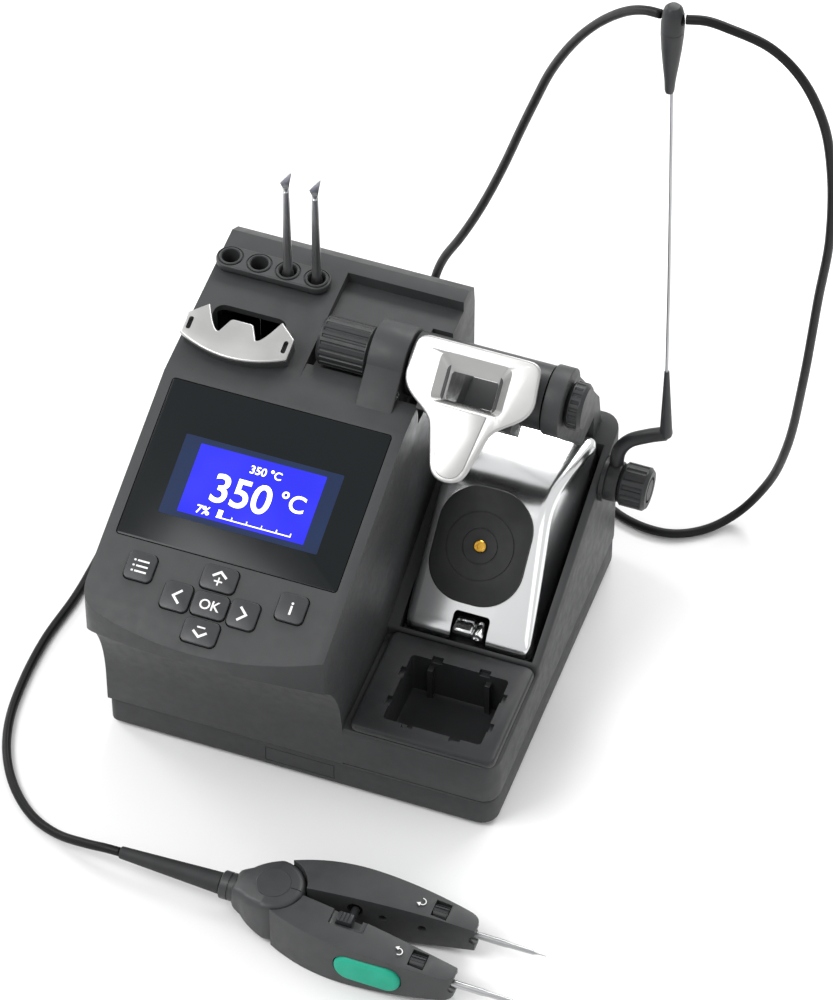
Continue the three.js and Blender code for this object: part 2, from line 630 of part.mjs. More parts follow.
// The cable clip: a slim drop shape, widest where the cable passes through it.
function cableClip() {
  const half = [[0, 0], [1.8, 0], [2.2, 6], [3.6, 20], [CLIP.half, 31], [CLIP.half, 36], [3.2, 40], [0, 41.5]];
  const drop = new THREE.LatheGeometry(half.map(([r, z]) => new THREE.Vector2(r, z)), 12)
    .rotateX(Math.PI / 2).translate(CLIP.x, CLIP.y, CLIP.z - 35);
  const seat = bar(ROD_RADIUS + GAP, 20, 8).translate(ROD_TOP.x - 0.1, CLIP.y, CLIP.z - 40);
  const throat = barX(CABLE_RADIUS + GAP, CLIP.x - 6, CLIP.x + 6, CLIP.y, CLIP.z + 1, 12);
  return cut(solid(drop), solid(seat), solid(throat));
}
add("cable_clip", cableClip(), finish.blackPlastic);

// ---------------------------------------------------------------- rear panel
const PANEL = { y0: 70.6, y1: 72.2 };
const INLET = { x: -50, z: 48, width: 27, height: 20 };
const FUSE = { x: -50, z: 29, width: 24, height: 9 };
const SWITCH = { x: -50, z: 84, width: 13, height: 21 };
const EARTH = { x: 0, z: 36, radius: 4 };

function rearPanel() {
  const sheet = box(
    REAR_OPENING.x0 + GAP, REAR_OPENING.x1 - GAP, PANEL.y0, PANEL.y1, REAR_OPENING.z0 + GAP, REAR_OPENING.z1 - GAP);
  const windows = [INLET, FUSE, SWITCH].map(({ x, z, width, height }) =>
    box(x - width / 2, x + width / 2, 60, 80, z - height / 2, z + height / 2));
  return cut(
    solid(sheet), ...windows.map(solid),
    solid(barY(10, 60, 80, SOCKET.x, SOCKET.z, 24)),
    solid(barY(EARTH.radius, 60, 80, EARTH.x, EARTH.z)),
  );
}
add("rear_panel", rearPanel(), finish.base);

// A fitting that snaps into a window of the panel: body behind, flange in front.
function panelFitting({ x, z, width, height }, flange, depth) {
  const w = width / 2 - GAP;
  const h = height / 2 - GAP;
  return join(
    solid(box(x - w, x + w, PANEL.y0 - depth, PANEL.y1 + 0.5, z - h, z + h)),
    solid(box(x - w - flange, x + w + flange, PANEL.y1 + GAP, PANEL.y1 + 2.2, z - h - flange, z + h + flange)),
  );
}

function mainsInlet() {
  const w = INLET.width / 2 - 2.5;
  const h = INLET.height / 2 - 2.5;
  const well = solid(box(INLET.x - w, INLET.x + w, PANEL.y1 - 12, PANEL.y1 + 5, INLET.z - h, INLET.z + h));
  const pins = [[-7, 1.5], [0, -2], [7, 1.5]].map(([dx, dz]) => solid(box(
    INLET.x + dx - 1, INLET.x + dx + 1, PANEL.y1 - 13, PANEL.y1 - 3, INLET.z + dz - 2, INLET.z + dz + 2)));
  return join(cut(panelFitting(INLET, 2, 14), well), ...pins);
}
add("mains_inlet", mainsInlet(), finish.blackPlastic);

function fuseDrawer() {
  return panelFitting(FUSE, 0.9, 16);
}
add("fuse_drawer", fuseDrawer(), finish.blackPlastic);

function switchFrame() {
  const w = SWITCH.width / 2 - 1.4;
  const h = SWITCH.height / 2 - 1.6;
  return cut(
    panelFitting(SWITCH, 1.4, 12),
    solid(box(SWITCH.x - w, SWITCH.x + w, PANEL.y0 - 10, PANEL.y1 + 5, SWITCH.z - h, SWITCH.z + h)),
  );
}
add("switch_frame", switchFrame(), finish.blackPlastic);

// The rocker turns on an axis along X; its two faces meet in a shallow V.
const ROCKER_Y = PANEL.y1 - 2;

function powerRocker() {
  const w = SWITCH.width / 2 - 1.8;
  const side = outline([
    [ROCKER_Y - 5, SWITCH.z - 4], [ROCKER_Y + 0.5, SWITCH.z - 8], [ROCKER_Y + 5.4, SWITCH.z - 6.2],
    [ROCKER_Y + 2.6, SWITCH.z], [ROCKER_Y + 2.6, SWITCH.z + 7.9], [ROCKER_Y - 1, SWITCH.z + 8], [ROCKER_Y - 5, SWITCH.z + 4],
  ]);
  return solid(acrossX(side, SWITCH.x - w, SWITCH.x + w));
}
add("power_rocker", powerRocker(), finish.blackPlastic);

function earthJack() {
  return cut(
    join(
      solid(barY(EARTH.radius - GAP, PANEL.y0 - 8, PANEL.y1 + 1, EARTH.x, EARTH.z)),
      solid(barY(5.6, PANEL.y1 + GAP, PANEL.y1 + 2.6, EARTH.x, EARTH.z)),
    ),
    solid(barY(2.1, PANEL.y0 - 6, PANEL.y1 + 5, EARTH.x, EARTH.z)),
  );
}
add("earth_jack", earthJack(), finish.brass);

const SOCKET_END = PANEL.y1 + 4;

function toolSocket() {
  return cut(
    join(
      solid(barY(10 - GAP, PANEL.y0 - 8, PANEL.y1 + 1, SOCKET.x, SOCKET.z, 24)),
      solid(barY(12, PANEL.y1 + GAP, SOCKET_END, SOCKET.x, SOCKET.z, 24)),
    ),
    solid(barY(7, PANEL.y0 - 4, SOCKET_END + 1, SOCKET.x, SOCKET.z, 24)),
  );
}
add("tool_socket", toolSocket(), finish.blackPlastic);

const PLUG_END = SOCKET_END + 14;
const PLUG_RELIEF_END = PLUG_END + 18;
add("cable_plug", join(
  solid(barY(6.6, PANEL.y1 - 3, SOCKET_END + 1, SOCKET.x, SOCKET.z, 20)),
  solid(barY(9, SOCKET_END + GAP, PLUG_END, SOCKET.x, SOCKET.z, 20)),
), finish.steel);
add("plug_relief", barY(5, PLUG_END + GAP, PLUG_RELIEF_END, SOCKET.x, SOCKET.z, 12, 2.6), finish.rubber);

// ---------------------------------------------------------------- power supply
const FLOOR_Z = FOOT_HEIGHT + WALL + GAP;

// A wound ring core standing on the base, with its open middle up.
function transformer() {
  const half = [[12, 0], [34, 0], [38, 5], [38, 33], [34, 38], [12, 38], [12, 0]];
  return new THREE.LatheGeometry(half.map(([r, z]) => new THREE.Vector2(r, z)), 28).rotateX(Math.PI / 2);
}
add("transformer", transformer(), finish.copper).position.set(-30, -12, FLOOR_Z);

function powerBoard() {
  return join(
    solid(box(20, 72, -8, 62, FLOOR_Z + 3, FLOOR_Z + 4.6)),
    solid(box(26, 34, 0, 50, FLOOR_Z + 4, FLOOR_Z + 22)),
    solid(bar(7, 20, 12).translate(50, 12, FLOOR_Z + 4)),
    solid(bar(7, 20, 12).translate(50, 30, FLOOR_Z + 4)),
    solid(box(44, 68, 44, 58, FLOOR_Z + 4, FLOOR_Z + 16)),
  );
}
add("power_board", powerBoard(), finish.circuit);

// ---------------------------------------------------------------- tweezers handpiece
// Drawn along its own +X from the strain relief to the tips, +Y to its far side, lying flat.
const ARM_START = 12.6;

add("handle_relief", barX(2.4, -RELIEF_LENGTH, 0, 0, 0, 12, 4.2), finish.rubber, tweezers);

function handleRear() {
  const plan = new THREE.Shape();
  plan.moveTo(5, -5.6);
  plan.lineTo(10, -7.5);
  plan.quadraticCurveTo(14, -11, PIVOT_X, -12);
  plan.absarc(PIVOT_X, 0, 12, -Math.PI / 2, Math.PI / 2);
  plan.quadraticCurveTo(14, 11, 10, 7.5);
  plan.lineTo(5, 5.6);
  const side = outline([[4, -6], [12, -10.6], [40, -10.6], [40, 10.6], [12, 10.6], [4, 6]]);
  const body = solid(upZ(plan, -12, 12, 6)).intersect(solid(alongY(side, -15, 15)));
  return join(body, solid(barX(5.4, GAP, 6, 0, 0, 16)));
}
add("handle_rear", handleRear(), finish.blackPlastic, tweezers);
add("pivot_cap", bar(7, 1.2, 20).translate(PIVOT_X, 0, 10.6 + GAP), finish.blackPlastic, tweezers);

const GRIP = { x: 65, z: -0.5, width: 26, height: 12.5, y: 16.4, proud: 20 };
const WHEEL = { x0: 80, x1: 85.5, y: 12.1, z: 5.4, radius: 3.4 };
const SLIDER = { x0: 49, x1: 55, y0: -8.6, y1: -4.2, travel: 3 };
const LOCK_ROD = { x: 52, z: 4, radius: 1.5, y0: -7, y1: 4.5 };

// Plan of one arm on the -Y side; the other arm is its mirror image.
function armPlan() {
  const start = THREE.MathUtils.degToRad(-76);
  const end = THREE.MathUtils.degToRad(-8);
  const shape = new THREE.Shape();
  shape.moveTo(PIVOT_X + ARM_START * Math.cos(start), ARM_START * Math.sin(start));
  shape.bezierCurveTo(34, -16.5, 44, -19, 58, -19);
  shape.bezierCurveTo(72, -19, 84, -17.6, 92, -16.6);
  shape.quadraticCurveTo(97, -16, 97, -12.6);
  shape.lineTo(97, -8.8);
  shape.lineTo(84, -7.6);
  shape.lineTo(PIVOT_X + ARM_START * Math.cos(end), ARM_START * Math.sin(end));
  shape.absarc(PIVOT_X, 0, ARM_START, end, start, true);
  return shape;
}

function tweezersArm(side) {
  const flank = new THREE.Shape();
  flank.moveTo(20, -10.6);
  flank.quadraticCurveTo(52, -14, 97, -5.8);
  flank.lineTo(97, 5.8);
  flank.quadraticCurveTo(60, 12.6, 20, 10.6);
  const tools = [
    barX(1.35 + GAP, 70, 100, -TIP_Y, 0, 12),
    box(WHEEL.x0 - GAP, WHEEL.x1 + GAP, -WHEEL.y - WHEEL.radius - GAP, -WHEEL.y + WHEEL.radius + GAP, 1.7, 15),
    alongY(roundedRect(GRIP.width + 0.6, GRIP.height + 0.6, 6, GRIP.x, GRIP.z), -30, -GRIP.y + GAP, 3),
  ];
  if (side < 0) {
    tools.push(box(SLIDER.x0 - GAP, SLIDER.x1 + SLIDER.travel + GAP, SLIDER.y0 - GAP, 0, 8, 15));
    tools.push(barY(LOCK_ROD.radius + GAP, LOCK_ROD.y0 - 0.5, 0, LOCK_ROD.x, LOCK_ROD.z, 12));
  } else {
    tools.push(barY(LOCK_ROD.radius + 1.6, -13, 0, LOCK_ROD.x - 0.4, LOCK_ROD.z, 12));
  }
  const arm = solid(upZ(armPlan(), -14, 14, 8)).intersect(solid(alongY(flank, -25, 5, 6)));
  return mirrored(cut(arm, ...tools.map(solid)), side);
}

// A body drawn on the -Y side, or its mirror image on the +Y side.
function mirrored(body, side) {
  const geometry = geometryOf(body);
  if (side > 0) {
    geometry.scale(1, -1, 1);
    const index = geometry.index.array;
    for (let i = 0; i < index.length; i += 3) {
      [index[i], index[i + 1]] = [index[i + 1], index[i]];
    }
  }
  return geometry;
}

function tipCartridge() {
  const half = [[0, 0], [1.35, 0], [1.35, 40], [0.35, 53], [0, 53]];
  return new THREE.LatheGeometry(half.map(([r, z]) => new THREE.Vector2(r, z)), 10)
    .rotateX(Math.PI / 2).rotateY(Math.PI / 2).translate(71, -TIP_Y, 0);
}

for (const [name, side] of [["near", -1], ["far", 1]]) {
  add(`${name}_arm`, tweezersArm(side), finish.blackPlastic, tweezers);
  const grip = solid(alongY(roundedRect(GRIP.width, GRIP.height, 6, GRIP.x, GRIP.z), -GRIP.proud, -GRIP.y, 3));
  add(`${name}_grip`, mirrored(grip, side), finish.grip, tweezers);
  const wheel = solid(barX(WHEEL.radius, WHEEL.x0, WHEEL.x1, -WHEEL.y, WHEEL.z, 16));
  add(`${name}_wheel`, mirrored(wheel, side), finish.blackPlastic, tweezers);
  add(`${name}_tip`, mirrored(solid(tipCartridge()), side), finish.steel, tweezers);
}

add("lock_slider", box(SLIDER.x0, SLIDER.x1, SLIDER.y0, SLIDER.y1, 8 + GAP, 12.4), finish.blackPlastic, tweezers);
add("lock_rod", barY(LOCK_ROD.radius, LOCK_ROD.y0, LOCK_ROD.y1, LOCK_ROD.x, LOCK_ROD.z, 12), finish.blackPlastic, tweezers);

// ---------------------------------------------------------------- cable
// Round tube through points chosen by hand, from the rear plug to the clip and on to the handpiece.
function cable(points, steps) {
  const curve = new THREE.CatmullRomCurve3(points.map((point) => new THREE.Vector3(...point)), false, "centripetal");
  const section = new THREE.Shape();
  section.absarc(0, 0, CABLE_RADIUS, 0, 2 * Math.PI);
  return solid(new THREE.ExtrudeGeometry(section, {
    extrudePath: curve, steps, curveSegments: 4, bevelEnabled: false,
  }));
}

const REAR_ROUTE = [
  [-20, 108.6, 52], [-20, 116, 53], [-19.6, 122.5, 57.5], [-18.6, 126.6, 65], [-16.6, 127.2, 75], [-13, 125.4, 86],
  [-5, 121, 104], [2, 117.4, 121], [9, 113.6, 140], [17, 108.4, 164], [25, 102.6, 190], [32, 97.6, 212],
  [39, 92.6, 233], [47, 87, 252], [56, 81, 269.5], [66, 74.6, 285], [76, 68, 297.4], [83.5, 63.2, 304], [89.2, 60.3, 306.8],
];
const FRONT_ROUTE = [
  [98.8, 60, 307.4], [106, 61, 308], [114, 62, 306], [128, 65, 299], [139, 67, 287], [148, 70, 265],
  [152, 73, 238], [152.5, 77, 200], [149, 82, 163], [144, 90, 108], [137, 101, 56], [128, 109, 22],
  [118, 106, 5], [108, 96, 2], [95, 89, 2], [78, 90, 2], [55, 102, 2], [25, 122, 2], [-15, 136, 2],
  [-55, 136, 2], [-88, 116, 2], [-105, 82, 2], [-111, 45, 2], [-113, 12, 2], [-114, -20, 2],
  [-117, -45, 2], [-117, -67, 2], [-114.5, -87, 2], [-109, -103, 2], [-100, -117, 2], [-88, -128, 2.6],
  [-75, -134.5, 5], [-62, -137.8, 9], [-53, -138.9, 11.3], [-47.3, -139.14, 11.8],
];
add("rear_cable", cable(REAR_ROUTE, 32), finish.cable);
add("tool_cable", cable(FRONT_ROUTE, 48), finish.cable);

station.position.copy(SET_CENTRE).negate();
const root = new THREE.Group();
root.add(station);

export default root;
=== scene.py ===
# %% [markdown]
# # A soldering station with a tweezers handpiece
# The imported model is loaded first. It holds every part at its real place, and the new pieces of
# this lesson stand on it. Everything is selected after the import, so the selection is cleared,
# because an operator acts on all that is selected.

# %% Load the frame
import json
import math

import bpy
from mathutils import Matrix, Vector


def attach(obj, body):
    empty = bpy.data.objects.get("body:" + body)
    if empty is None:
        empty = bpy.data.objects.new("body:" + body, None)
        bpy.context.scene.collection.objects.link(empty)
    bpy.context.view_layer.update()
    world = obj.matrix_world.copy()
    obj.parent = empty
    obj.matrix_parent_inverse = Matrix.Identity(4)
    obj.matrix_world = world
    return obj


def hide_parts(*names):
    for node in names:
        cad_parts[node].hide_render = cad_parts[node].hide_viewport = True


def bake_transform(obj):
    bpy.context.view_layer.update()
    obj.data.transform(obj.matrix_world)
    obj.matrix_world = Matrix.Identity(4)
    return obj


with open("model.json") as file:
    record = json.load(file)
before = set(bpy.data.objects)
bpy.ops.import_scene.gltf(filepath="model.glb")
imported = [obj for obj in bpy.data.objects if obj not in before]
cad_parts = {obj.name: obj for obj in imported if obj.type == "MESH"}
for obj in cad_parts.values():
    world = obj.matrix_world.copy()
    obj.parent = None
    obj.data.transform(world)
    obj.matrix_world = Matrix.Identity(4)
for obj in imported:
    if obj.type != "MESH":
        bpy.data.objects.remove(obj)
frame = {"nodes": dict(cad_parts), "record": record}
bpy.ops.object.select_all(action="DESELECT")
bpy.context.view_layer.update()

# %% [markdown]
# ## Working in millimetres
# The station is measured in millimetres from the middle of the control unit's base. Each piece is
# modelled there at 1 unit to the millimetre, often on a tilted work plane, and `finish` writes
# its final place into its mesh, in metres. The object itself then sits at the origin, unturned.

# %% Places and work planes
SET_CENTRE = Vector((19.8, -42.7, 0.0))
TO_FRAME = Matrix.Scale(0.001, 4) @ Matrix.Translation(-SET_CENTRE)


def at(x, y, z):
    """A place on the station, in the frame's metres."""
    return TO_FRAME @ Vector((x, y, z))


def moved(x, y, z):
    return Matrix.Translation((x, y, z))


def tilted(x, y, z, degrees):
    """A work plane at a place, with its back edge raised."""
    return moved(x, y, z) @ Matrix.Rotation(math.radians(degrees), 4, "X")


HALF_WIDTH = 78.5
BREAK_Y, BREAK_Z = -4.0, 128.5
CONSOLE_SLOPE = math.radians(21)
CONSOLE_RIGHT = 17.5
CONSOLE = tilted((CONSOLE_RIGHT - HALF_WIDTH) / 2, BREAK_Y, BREAK_Z, 21)
AXLE_Y, AXLE_Z = 27.0, 133.0
HOLDER = tilted(37, AXLE_Y, AXLE_Z, 38)
COVER = tilted(48.75, -21.5, 44.5, 42)
EXTRACTOR = tilted(-56, 10, 134, 14)
HANDPIECE = moved(-6, -140, 11.8) @ Matrix.Rotation(math.radians(-1.2), 4, "Z")
# An outline drawn with ALONG_X has its first value along Y, its second along Z, and is extruded
# along X. With ALONG_Y they are X and Z, and it is extruded towards the front.
ALONG_X = Matrix(((0, 0, 1, 0), (1, 0, 0, 0), (0, 1, 0, 0), (0, 0, 0, 1)))
ALONG_Y = Matrix(((1, 0, 0, 0), (0, 0, -1, 0), (0, 1, 0, 0), (0, 0, 0, 1)))
# A turned part stands on Z. These lay it down with its end to the right, to the back or to the front.
TO_RIGHT = Matrix.Rotation(math.pi / 2, 4, "Y")
TO_BACK = Matrix.Rotation(-math.pi / 2, 4, "X")
TO_FRONT = Matrix.Rotation(math.pi / 2, 4, "X")
print("console plane starts at", CONSOLE.translation)

# %% [markdown]
# ## Small modelling helpers
# A flat outline is a filled circle whose corners are moved onto the outline and then extruded. A
# turned part is a profile spun about an axis. Cuts and joins are Boolean modifiers, rounded
# edges are Bevel modifiers, and each is applied straight away, so that the next step sees it.

# %% Outlines, prisms and turned parts
def object_mode():
    if bpy.context.object and bpy.context.object.mode != "OBJECT":
        bpy.ops.object.mode_set(mode="OBJECT")
    bpy.ops.object.select_all(action="DESELECT")


def only(piece):
    """Selects one piece and makes it the active one."""
    object_mode()
    piece.select_set(True)
    bpy.context.view_layer.objects.active = piece
    return piece


def in_edit_mode(piece, *steps):
    only(piece)
    bpy.ops.object.mode_set(mode="EDIT")
    bpy.ops.mesh.select_all(action="SELECT")
    for step in steps:
        step()
    bpy.ops.object.mode_set(mode="OBJECT")
    return piece


def tidy_normals(piece, distance=0.0005):
    return in_edit_mode(
        piece,
        lambda: bpy.ops.mesh.remove_doubles(threshold=distance),
        lambda: bpy.ops.mesh.normals_make_consistent(inside=False),
    )


def ring(points, fill="NGON"):
    """A circle whose corners are moved onto the points."""
    object_mode()
    bpy.ops.mesh.primitive_circle_add(vertices=len(points), fill_type=fill)
    piece = bpy.context.object
    for vertex, point in zip(piece.data.vertices, points):
        vertex.co = point
    return piece


def prism(points, low, high, place=Matrix()):
    """A flat outline, extruded from one height to another on a work plane."""
    piece = ring([(x, y, low) for x, y in points])
    in_edit_mode(piece, lambda: bpy.ops.mesh.extrude_region_move(
        TRANSFORM_OT_translate={"value": (0, 0, high - low)}))
    tidy_normals(piece)
    piece.data.transform(place)
    return piece


def turned(profile, place=Matrix(), steps=48):
    """A profile of (radius, height) pairs, spun about Z."""
    piece = ring([(r, 0, z) for r, z in profile], fill="NOTHING")
    in_edit_mode(piece, lambda: bpy.ops.mesh.spin(
        steps=steps, angle=2 * math.pi, center=(0, 0, 0), axis=(0, 0, 1)))
    in_edit_mode(piece, lambda: bpy.ops.mesh.dissolve_degenerate(threshold=0.0005))
    tidy_normals(piece)
    piece.data.transform(place)
    return piece


def block(x0, x1, y0, y1, z0, z1, place=Matrix()):
    return prism([(x0, y0), (x1, y0), (x1, y1), (x0, y1)], z0, z1, place)


def rod(radius, start, end, y, z, axis="X", sides=48):
    """A round bar along X at (y, z). With axis "Y" it runs along Y, and `y` is its X."""
    axes = {"X": moved(start, y, z) @ ALONG_X,
            "Y": moved(y, start, z) @ TO_BACK}
    return prism(arc(0, 0, radius, 0, 360, sides)[:-1], 0, end - start, axes[axis])


def arc(cx, cy, radius, start, end, steps=12):
    angles = [math.radians(start + (end - start) * i / steps) for i in range(steps + 1)]
    return [(cx + radius * math.cos(a), cy + radius * math.sin(a)) for a in angles]


def rounded(width, height, radius, cx=0.0, cy=0.0, steps=6):
    """A rectangle with round corners."""
    x, y = width / 2 - radius, height / 2 - radius
    corners = [(x, y, 0), (-x, y, 90), (-x, -y, 180), (x, -y, 270)]
    return [point for dx, dy, turn in corners
            for point in arc(cx + dx, cy + dy, radius, turn, turn + 90, steps)]


def bend(start, control, end, steps=14):
    """Points of a quadratic curve, without its first point."""
    points = []
    for i in range(1, steps + 1):
        t = i / steps
        points.append(tuple((1 - t) ** 2 * a + 2 * t * (1 - t) * b + t * t * c
                            for a, b, c in zip(start, control, end)))
    return points


def cubic(start, first, second, end, steps=16):
    """Points of a cubic curve, without its first point."""
    points = []
    for i in range(1, steps + 1):
        t = i / steps
        weights = ((1 - t) ** 3, 3 * t * (1 - t) ** 2, 3 * t * t * (1 - t), t ** 3)
        points.append(tuple(sum(w * p[k] for w, p in zip(weights, (start, first, second, end)))
                            for k in range(2)))
    return points


# %% Modifiers, applied as soon as they are set
def applied(piece, kind, **settings):
    only(piece)
    modifier = piece.modifiers.new(kind.lower(), kind)
    for name, value in settings.items():
        setattr(modifier, name, value)
    bpy.ops.object.modifier_apply(modifier=modifier.name)
    return piece


def combined(piece, operation, *others):
    for other in others:
        applied(piece, "BOOLEAN", operation=operation, object=other, solver="EXACT")
        bpy.data.objects.remove(other)
    return piece


def cut(piece, *others):
    return combined(piece, "DIFFERENCE", *others)


def join(piece, *others):
    return combined(piece, "UNION", *others)


def eased(piece, width, segments=2, angle=30):
    """Rounds every edge sharper than the angle, after merging what lies in one plane."""
    applied(piece, "DECIMATE", decimate_type="DISSOLVE", angle_limit=math.radians(0.5))
    return applied(piece, "BEVEL", width=width, segments=segments, limit_method="ANGLE",
                   angle_limit=math.radians(angle), use_clamp_overlap=True)


def merged(first, *others):
    """One object from several closed shells that may overlap."""
    only(first)
    for other in others:
        other.select_set(True)
    bpy.ops.object.join()
    return first


def copy_of(piece, place=Matrix()):
    twin = piece.copy()
    twin.data = piece.data.copy()
    bpy.context.collection.objects.link(twin)
    twin.data.transform(place)
    return twin


def tube(points, radius, sides):
    """A round tube along points, made from a curve."""
    curve = bpy.data.curves.new("tube", "CURVE")
    curve.dimensions = "3D"
    curve.bevel_depth = radius
    curve.bevel_resolution = max(0, sides // 4 - 1)
    curve.use_fill_caps = True
    spline = curve.splines.new("POLY")
    spline.points.add(len(points) - 1)
    for spot, point in zip(spline.points, points):
        spot.co = (*point, 1)
    piece = bpy.data.objects.new("tube", curve)
    bpy.context.collection.objects.link(piece)
    only(piece)
    bpy.ops.object.convert(target="MESH")
    return tidy_normals(bpy.context.object)


def flowing(points, steps=8):
    """A smooth curve through points: a centripetal Catmull-Rom spline, as the cables are laid."""
    line = [Vector(p) for p in points]
    line = [2 * line[0] - line[1], *line, 2 * line[-1] - line[-2]]
    result = []
    for p0, p1, p2, p3 in zip(line, line[1:], line[2:], line[3:]):
        t1 = (p1 - p0).length ** 0.5
        t2 = t1 + (p2 - p1).length ** 0.5
        t3 = t2 + (p3 - p2).length ** 0.5
        for i in range(steps):
            t = t1 + (t2 - t1) * i / steps
            a1 = p0.lerp(p1, t / t1)
            a2 = p1.lerp(p2, (t - t1) / (t2 - t1))
            a3 = p2.lerp(p3, (t - t2) / (t3 - t2))
            b1 = a1.lerp(a2, t / t2)
            b2 = a2.lerp(a3, (t - t1) / (t3 - t1))
            result.append(b1.lerp(b2, (t - t1) / (t2 - t1)))
    return result + [line[-2]]


# %% Finishing a piece
def finish(piece, name, material, body, slot, *nodes):
    """Names the piece, writes its place into its mesh in metres, and hands it to its body."""
    object_mode()
    piece.name = piece.data.name = name
    piece.data.transform(piece.matrix_world)
    piece.matrix_world = Matrix()
    piece.data.transform(TO_FRAME)
    only(piece)
    bpy.ops.object.shade_smooth_by_angle(angle=math.radians(30))
    piece.data.materials.clear()
    piece.data.materials.append(material)
    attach(piece, body)
    if nodes:
        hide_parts(*nodes)
    print(name, len(piece.data.polygons), "faces")
    return piece


# %% [markdown]
# ## Camera and light
# A long lens looks down on the bench from the front. A pale floor and soft lights all round give
# broad, gentle reflections, and two long strips give the plated parts their white bands.

# %% Camera, floor and lights
bpy.ops.object.camera_add()
camera = bpy.context.object
camera.name = "camera"
camera.data.lens = 183.3
camera.data.clip_end = 20
CAMERA_PLACE = at(450.1, -1193.3, 1526.9)
AZIMUTH, ELEVATION = math.radians(19.8), math.radians(48.6)
away = Vector((math.sin(AZIMUTH) * math.cos(ELEVATION), -math.cos(AZIMUTH) * math.cos(ELEVATION),
               math.sin(ELEVATION)))
right = Vector((math.cos(AZIMUTH), math.sin(AZIMUTH), 0))
up = away.cross(right)
turn = Matrix((right, up, away)).transposed().to_4x4()
camera.matrix_world = Matrix.Translation(CAMERA_PLACE) @ turn
bpy.context.scene.camera = camera


def soft_light(name, place, target, size, watts, size_y=None):
    bpy.ops.object.light_add(type="AREA", location=place)
    lamp = bpy.context.object
    lamp.name = name
    lamp.rotation_euler = (Vector(target) - Vector(place)).to_track_quat("-Z", "Y").to_euler()
    lamp.data.size = size
    if size_y:
        lamp.data.shape = "RECTANGLE"
        lamp.data.size_y = size_y
    lamp.data.energy = watts
    return lamp


soft_light("key_light", (-0.7, -0.6, 1.3), (0, 0, 0.1), 0.7, 13)
soft_light("fill_light", (1.1, -0.7, 0.8), (0, 0, 0.1), 0.9, 1.5)
soft_light("back_strip", (0.2, 1.1, 1.0), (0, 0, 0.1), 1.2, 14, 0.35)
soft_light("left_strip", (-1.2, 0.4, 0.7), (0, 0, 0.1), 0.4, 7, 1.2)

world = bpy.data.worlds.new("studio")
bpy.context.scene.world = world
world.use_nodes = True
world.node_tree.nodes["Background"].inputs["Color"].default_value = (1, 1, 1, 1)
world.node_tree.nodes["Background"].inputs["Strength"].default_value = 0.85
bpy.context.scene.view_settings.view_transform = "Standard"

object_mode()
bpy.ops.mesh.primitive_plane_add(size=8, location=(0, 0, 0))
floor = bpy.context.object
floor.name = "floor"


# %% [markdown]
# ## Materials
# Every finish starts from what the real one is: moulded plastics with a fine grain, smoked acrylic
# over a lit panel, white print, and plated, cast or turned metal. Patterns read Object
# coordinates, which are metres, so a grain of so many millimetres is a scale of a thousand over
# that size.

# %% Colour and node helpers
def srgb(code):
    """A hex colour as linear red, green, blue and alpha."""
    levels = [int(code[i:i + 2], 16) / 255 for i in (1, 3, 5)]
    return (*[v / 12.92 if v <= 0.04045 else ((v + 0.055) / 1.055) ** 2.4 for v in levels], 1)


def node(material, kind, settings=None, **links):
    """Adds a node, sets its values, and links what is given by input name."""
    tree = material.node_tree
    new = tree.nodes.new(kind)
    for key, value in (settings or {}).items():
        if key in new.inputs:
            new.inputs[key].default_value = value
        else:
            setattr(new, key, value)
    for key, source in links.items():
        tree.links.new(source, new.inputs[key.replace("_", " ")])
    return new


def surface(name, color, roughness, metallic=0.0, ior=1.5, **more):
    """A material whose shader carries the plain values."""
    material = bpy.data.materials.new(name)
    material.use_nodes = True
    shader = material.node_tree.nodes["Principled BSDF"]
    shader.inputs["Base Color"].default_value = srgb(color)
    shader.inputs["Roughness"].default_value = roughness
    shader.inputs["Metallic"].default_value = metallic
    if not metallic:
        shader.inputs["IOR"].default_value = ior
    for key, value in more.items():
        shader.inputs[key.replace("_", " ")].default_value = value
    return material


def shader_of(material):
    return material.node_tree.nodes["Principled BSDF"]


def noise(material, size_mm, detail, stretch=None):
    """A noise pattern whose largest spots are about this many millimetres across."""
    place = node(material, "ShaderNodeTexCoord").outputs["Object"]
    if stretch:
        place = node(material, "ShaderNodeMapping", {"Scale": stretch}, Vector=place).outputs[0]
    return node(material, "ShaderNodeTexNoise",
                {"Scale": 1000 / size_mm, "Detail": detail, "Roughness": 0.5},
                Vector=place).outputs["Fac"]


def relief(material, height, depth_mm):
    """Bump from a height pattern, depth in millimetres."""
    bump = node(material, "ShaderNodeBump", {"Strength": 1.0, "Distance": depth_mm / 1000}, Height=height)
    material.node_tree.links.new(bump.outputs[0], shader_of(material).inputs["Normal"])
    return material


def varied(material, size_mm, detail, socket, low, high, stretch=None):
    """Lets a noise pattern move a socket between two values, or two hex colours."""
    tree = material.node_tree
    pattern = noise(material, size_mm, detail, stretch)
    if isinstance(low, str):
        ramp = node(material, "ShaderNodeValToRGB", Fac=pattern)
        first, last = ramp.color_ramp.elements
        first.position, last.position = 0.35, 0.65
        first.color, last.color = srgb(low), srgb(high)
        output = ramp.outputs[0]
    else:
        output = node(material, "ShaderNodeMapRange",
                      {"From Min": 0.3, "From Max": 0.7, "To Min": low, "To Max": high},
                      Value=pattern).outputs[0]
    tree.links.new(output, shader_of(material).inputs[socket])
    return material


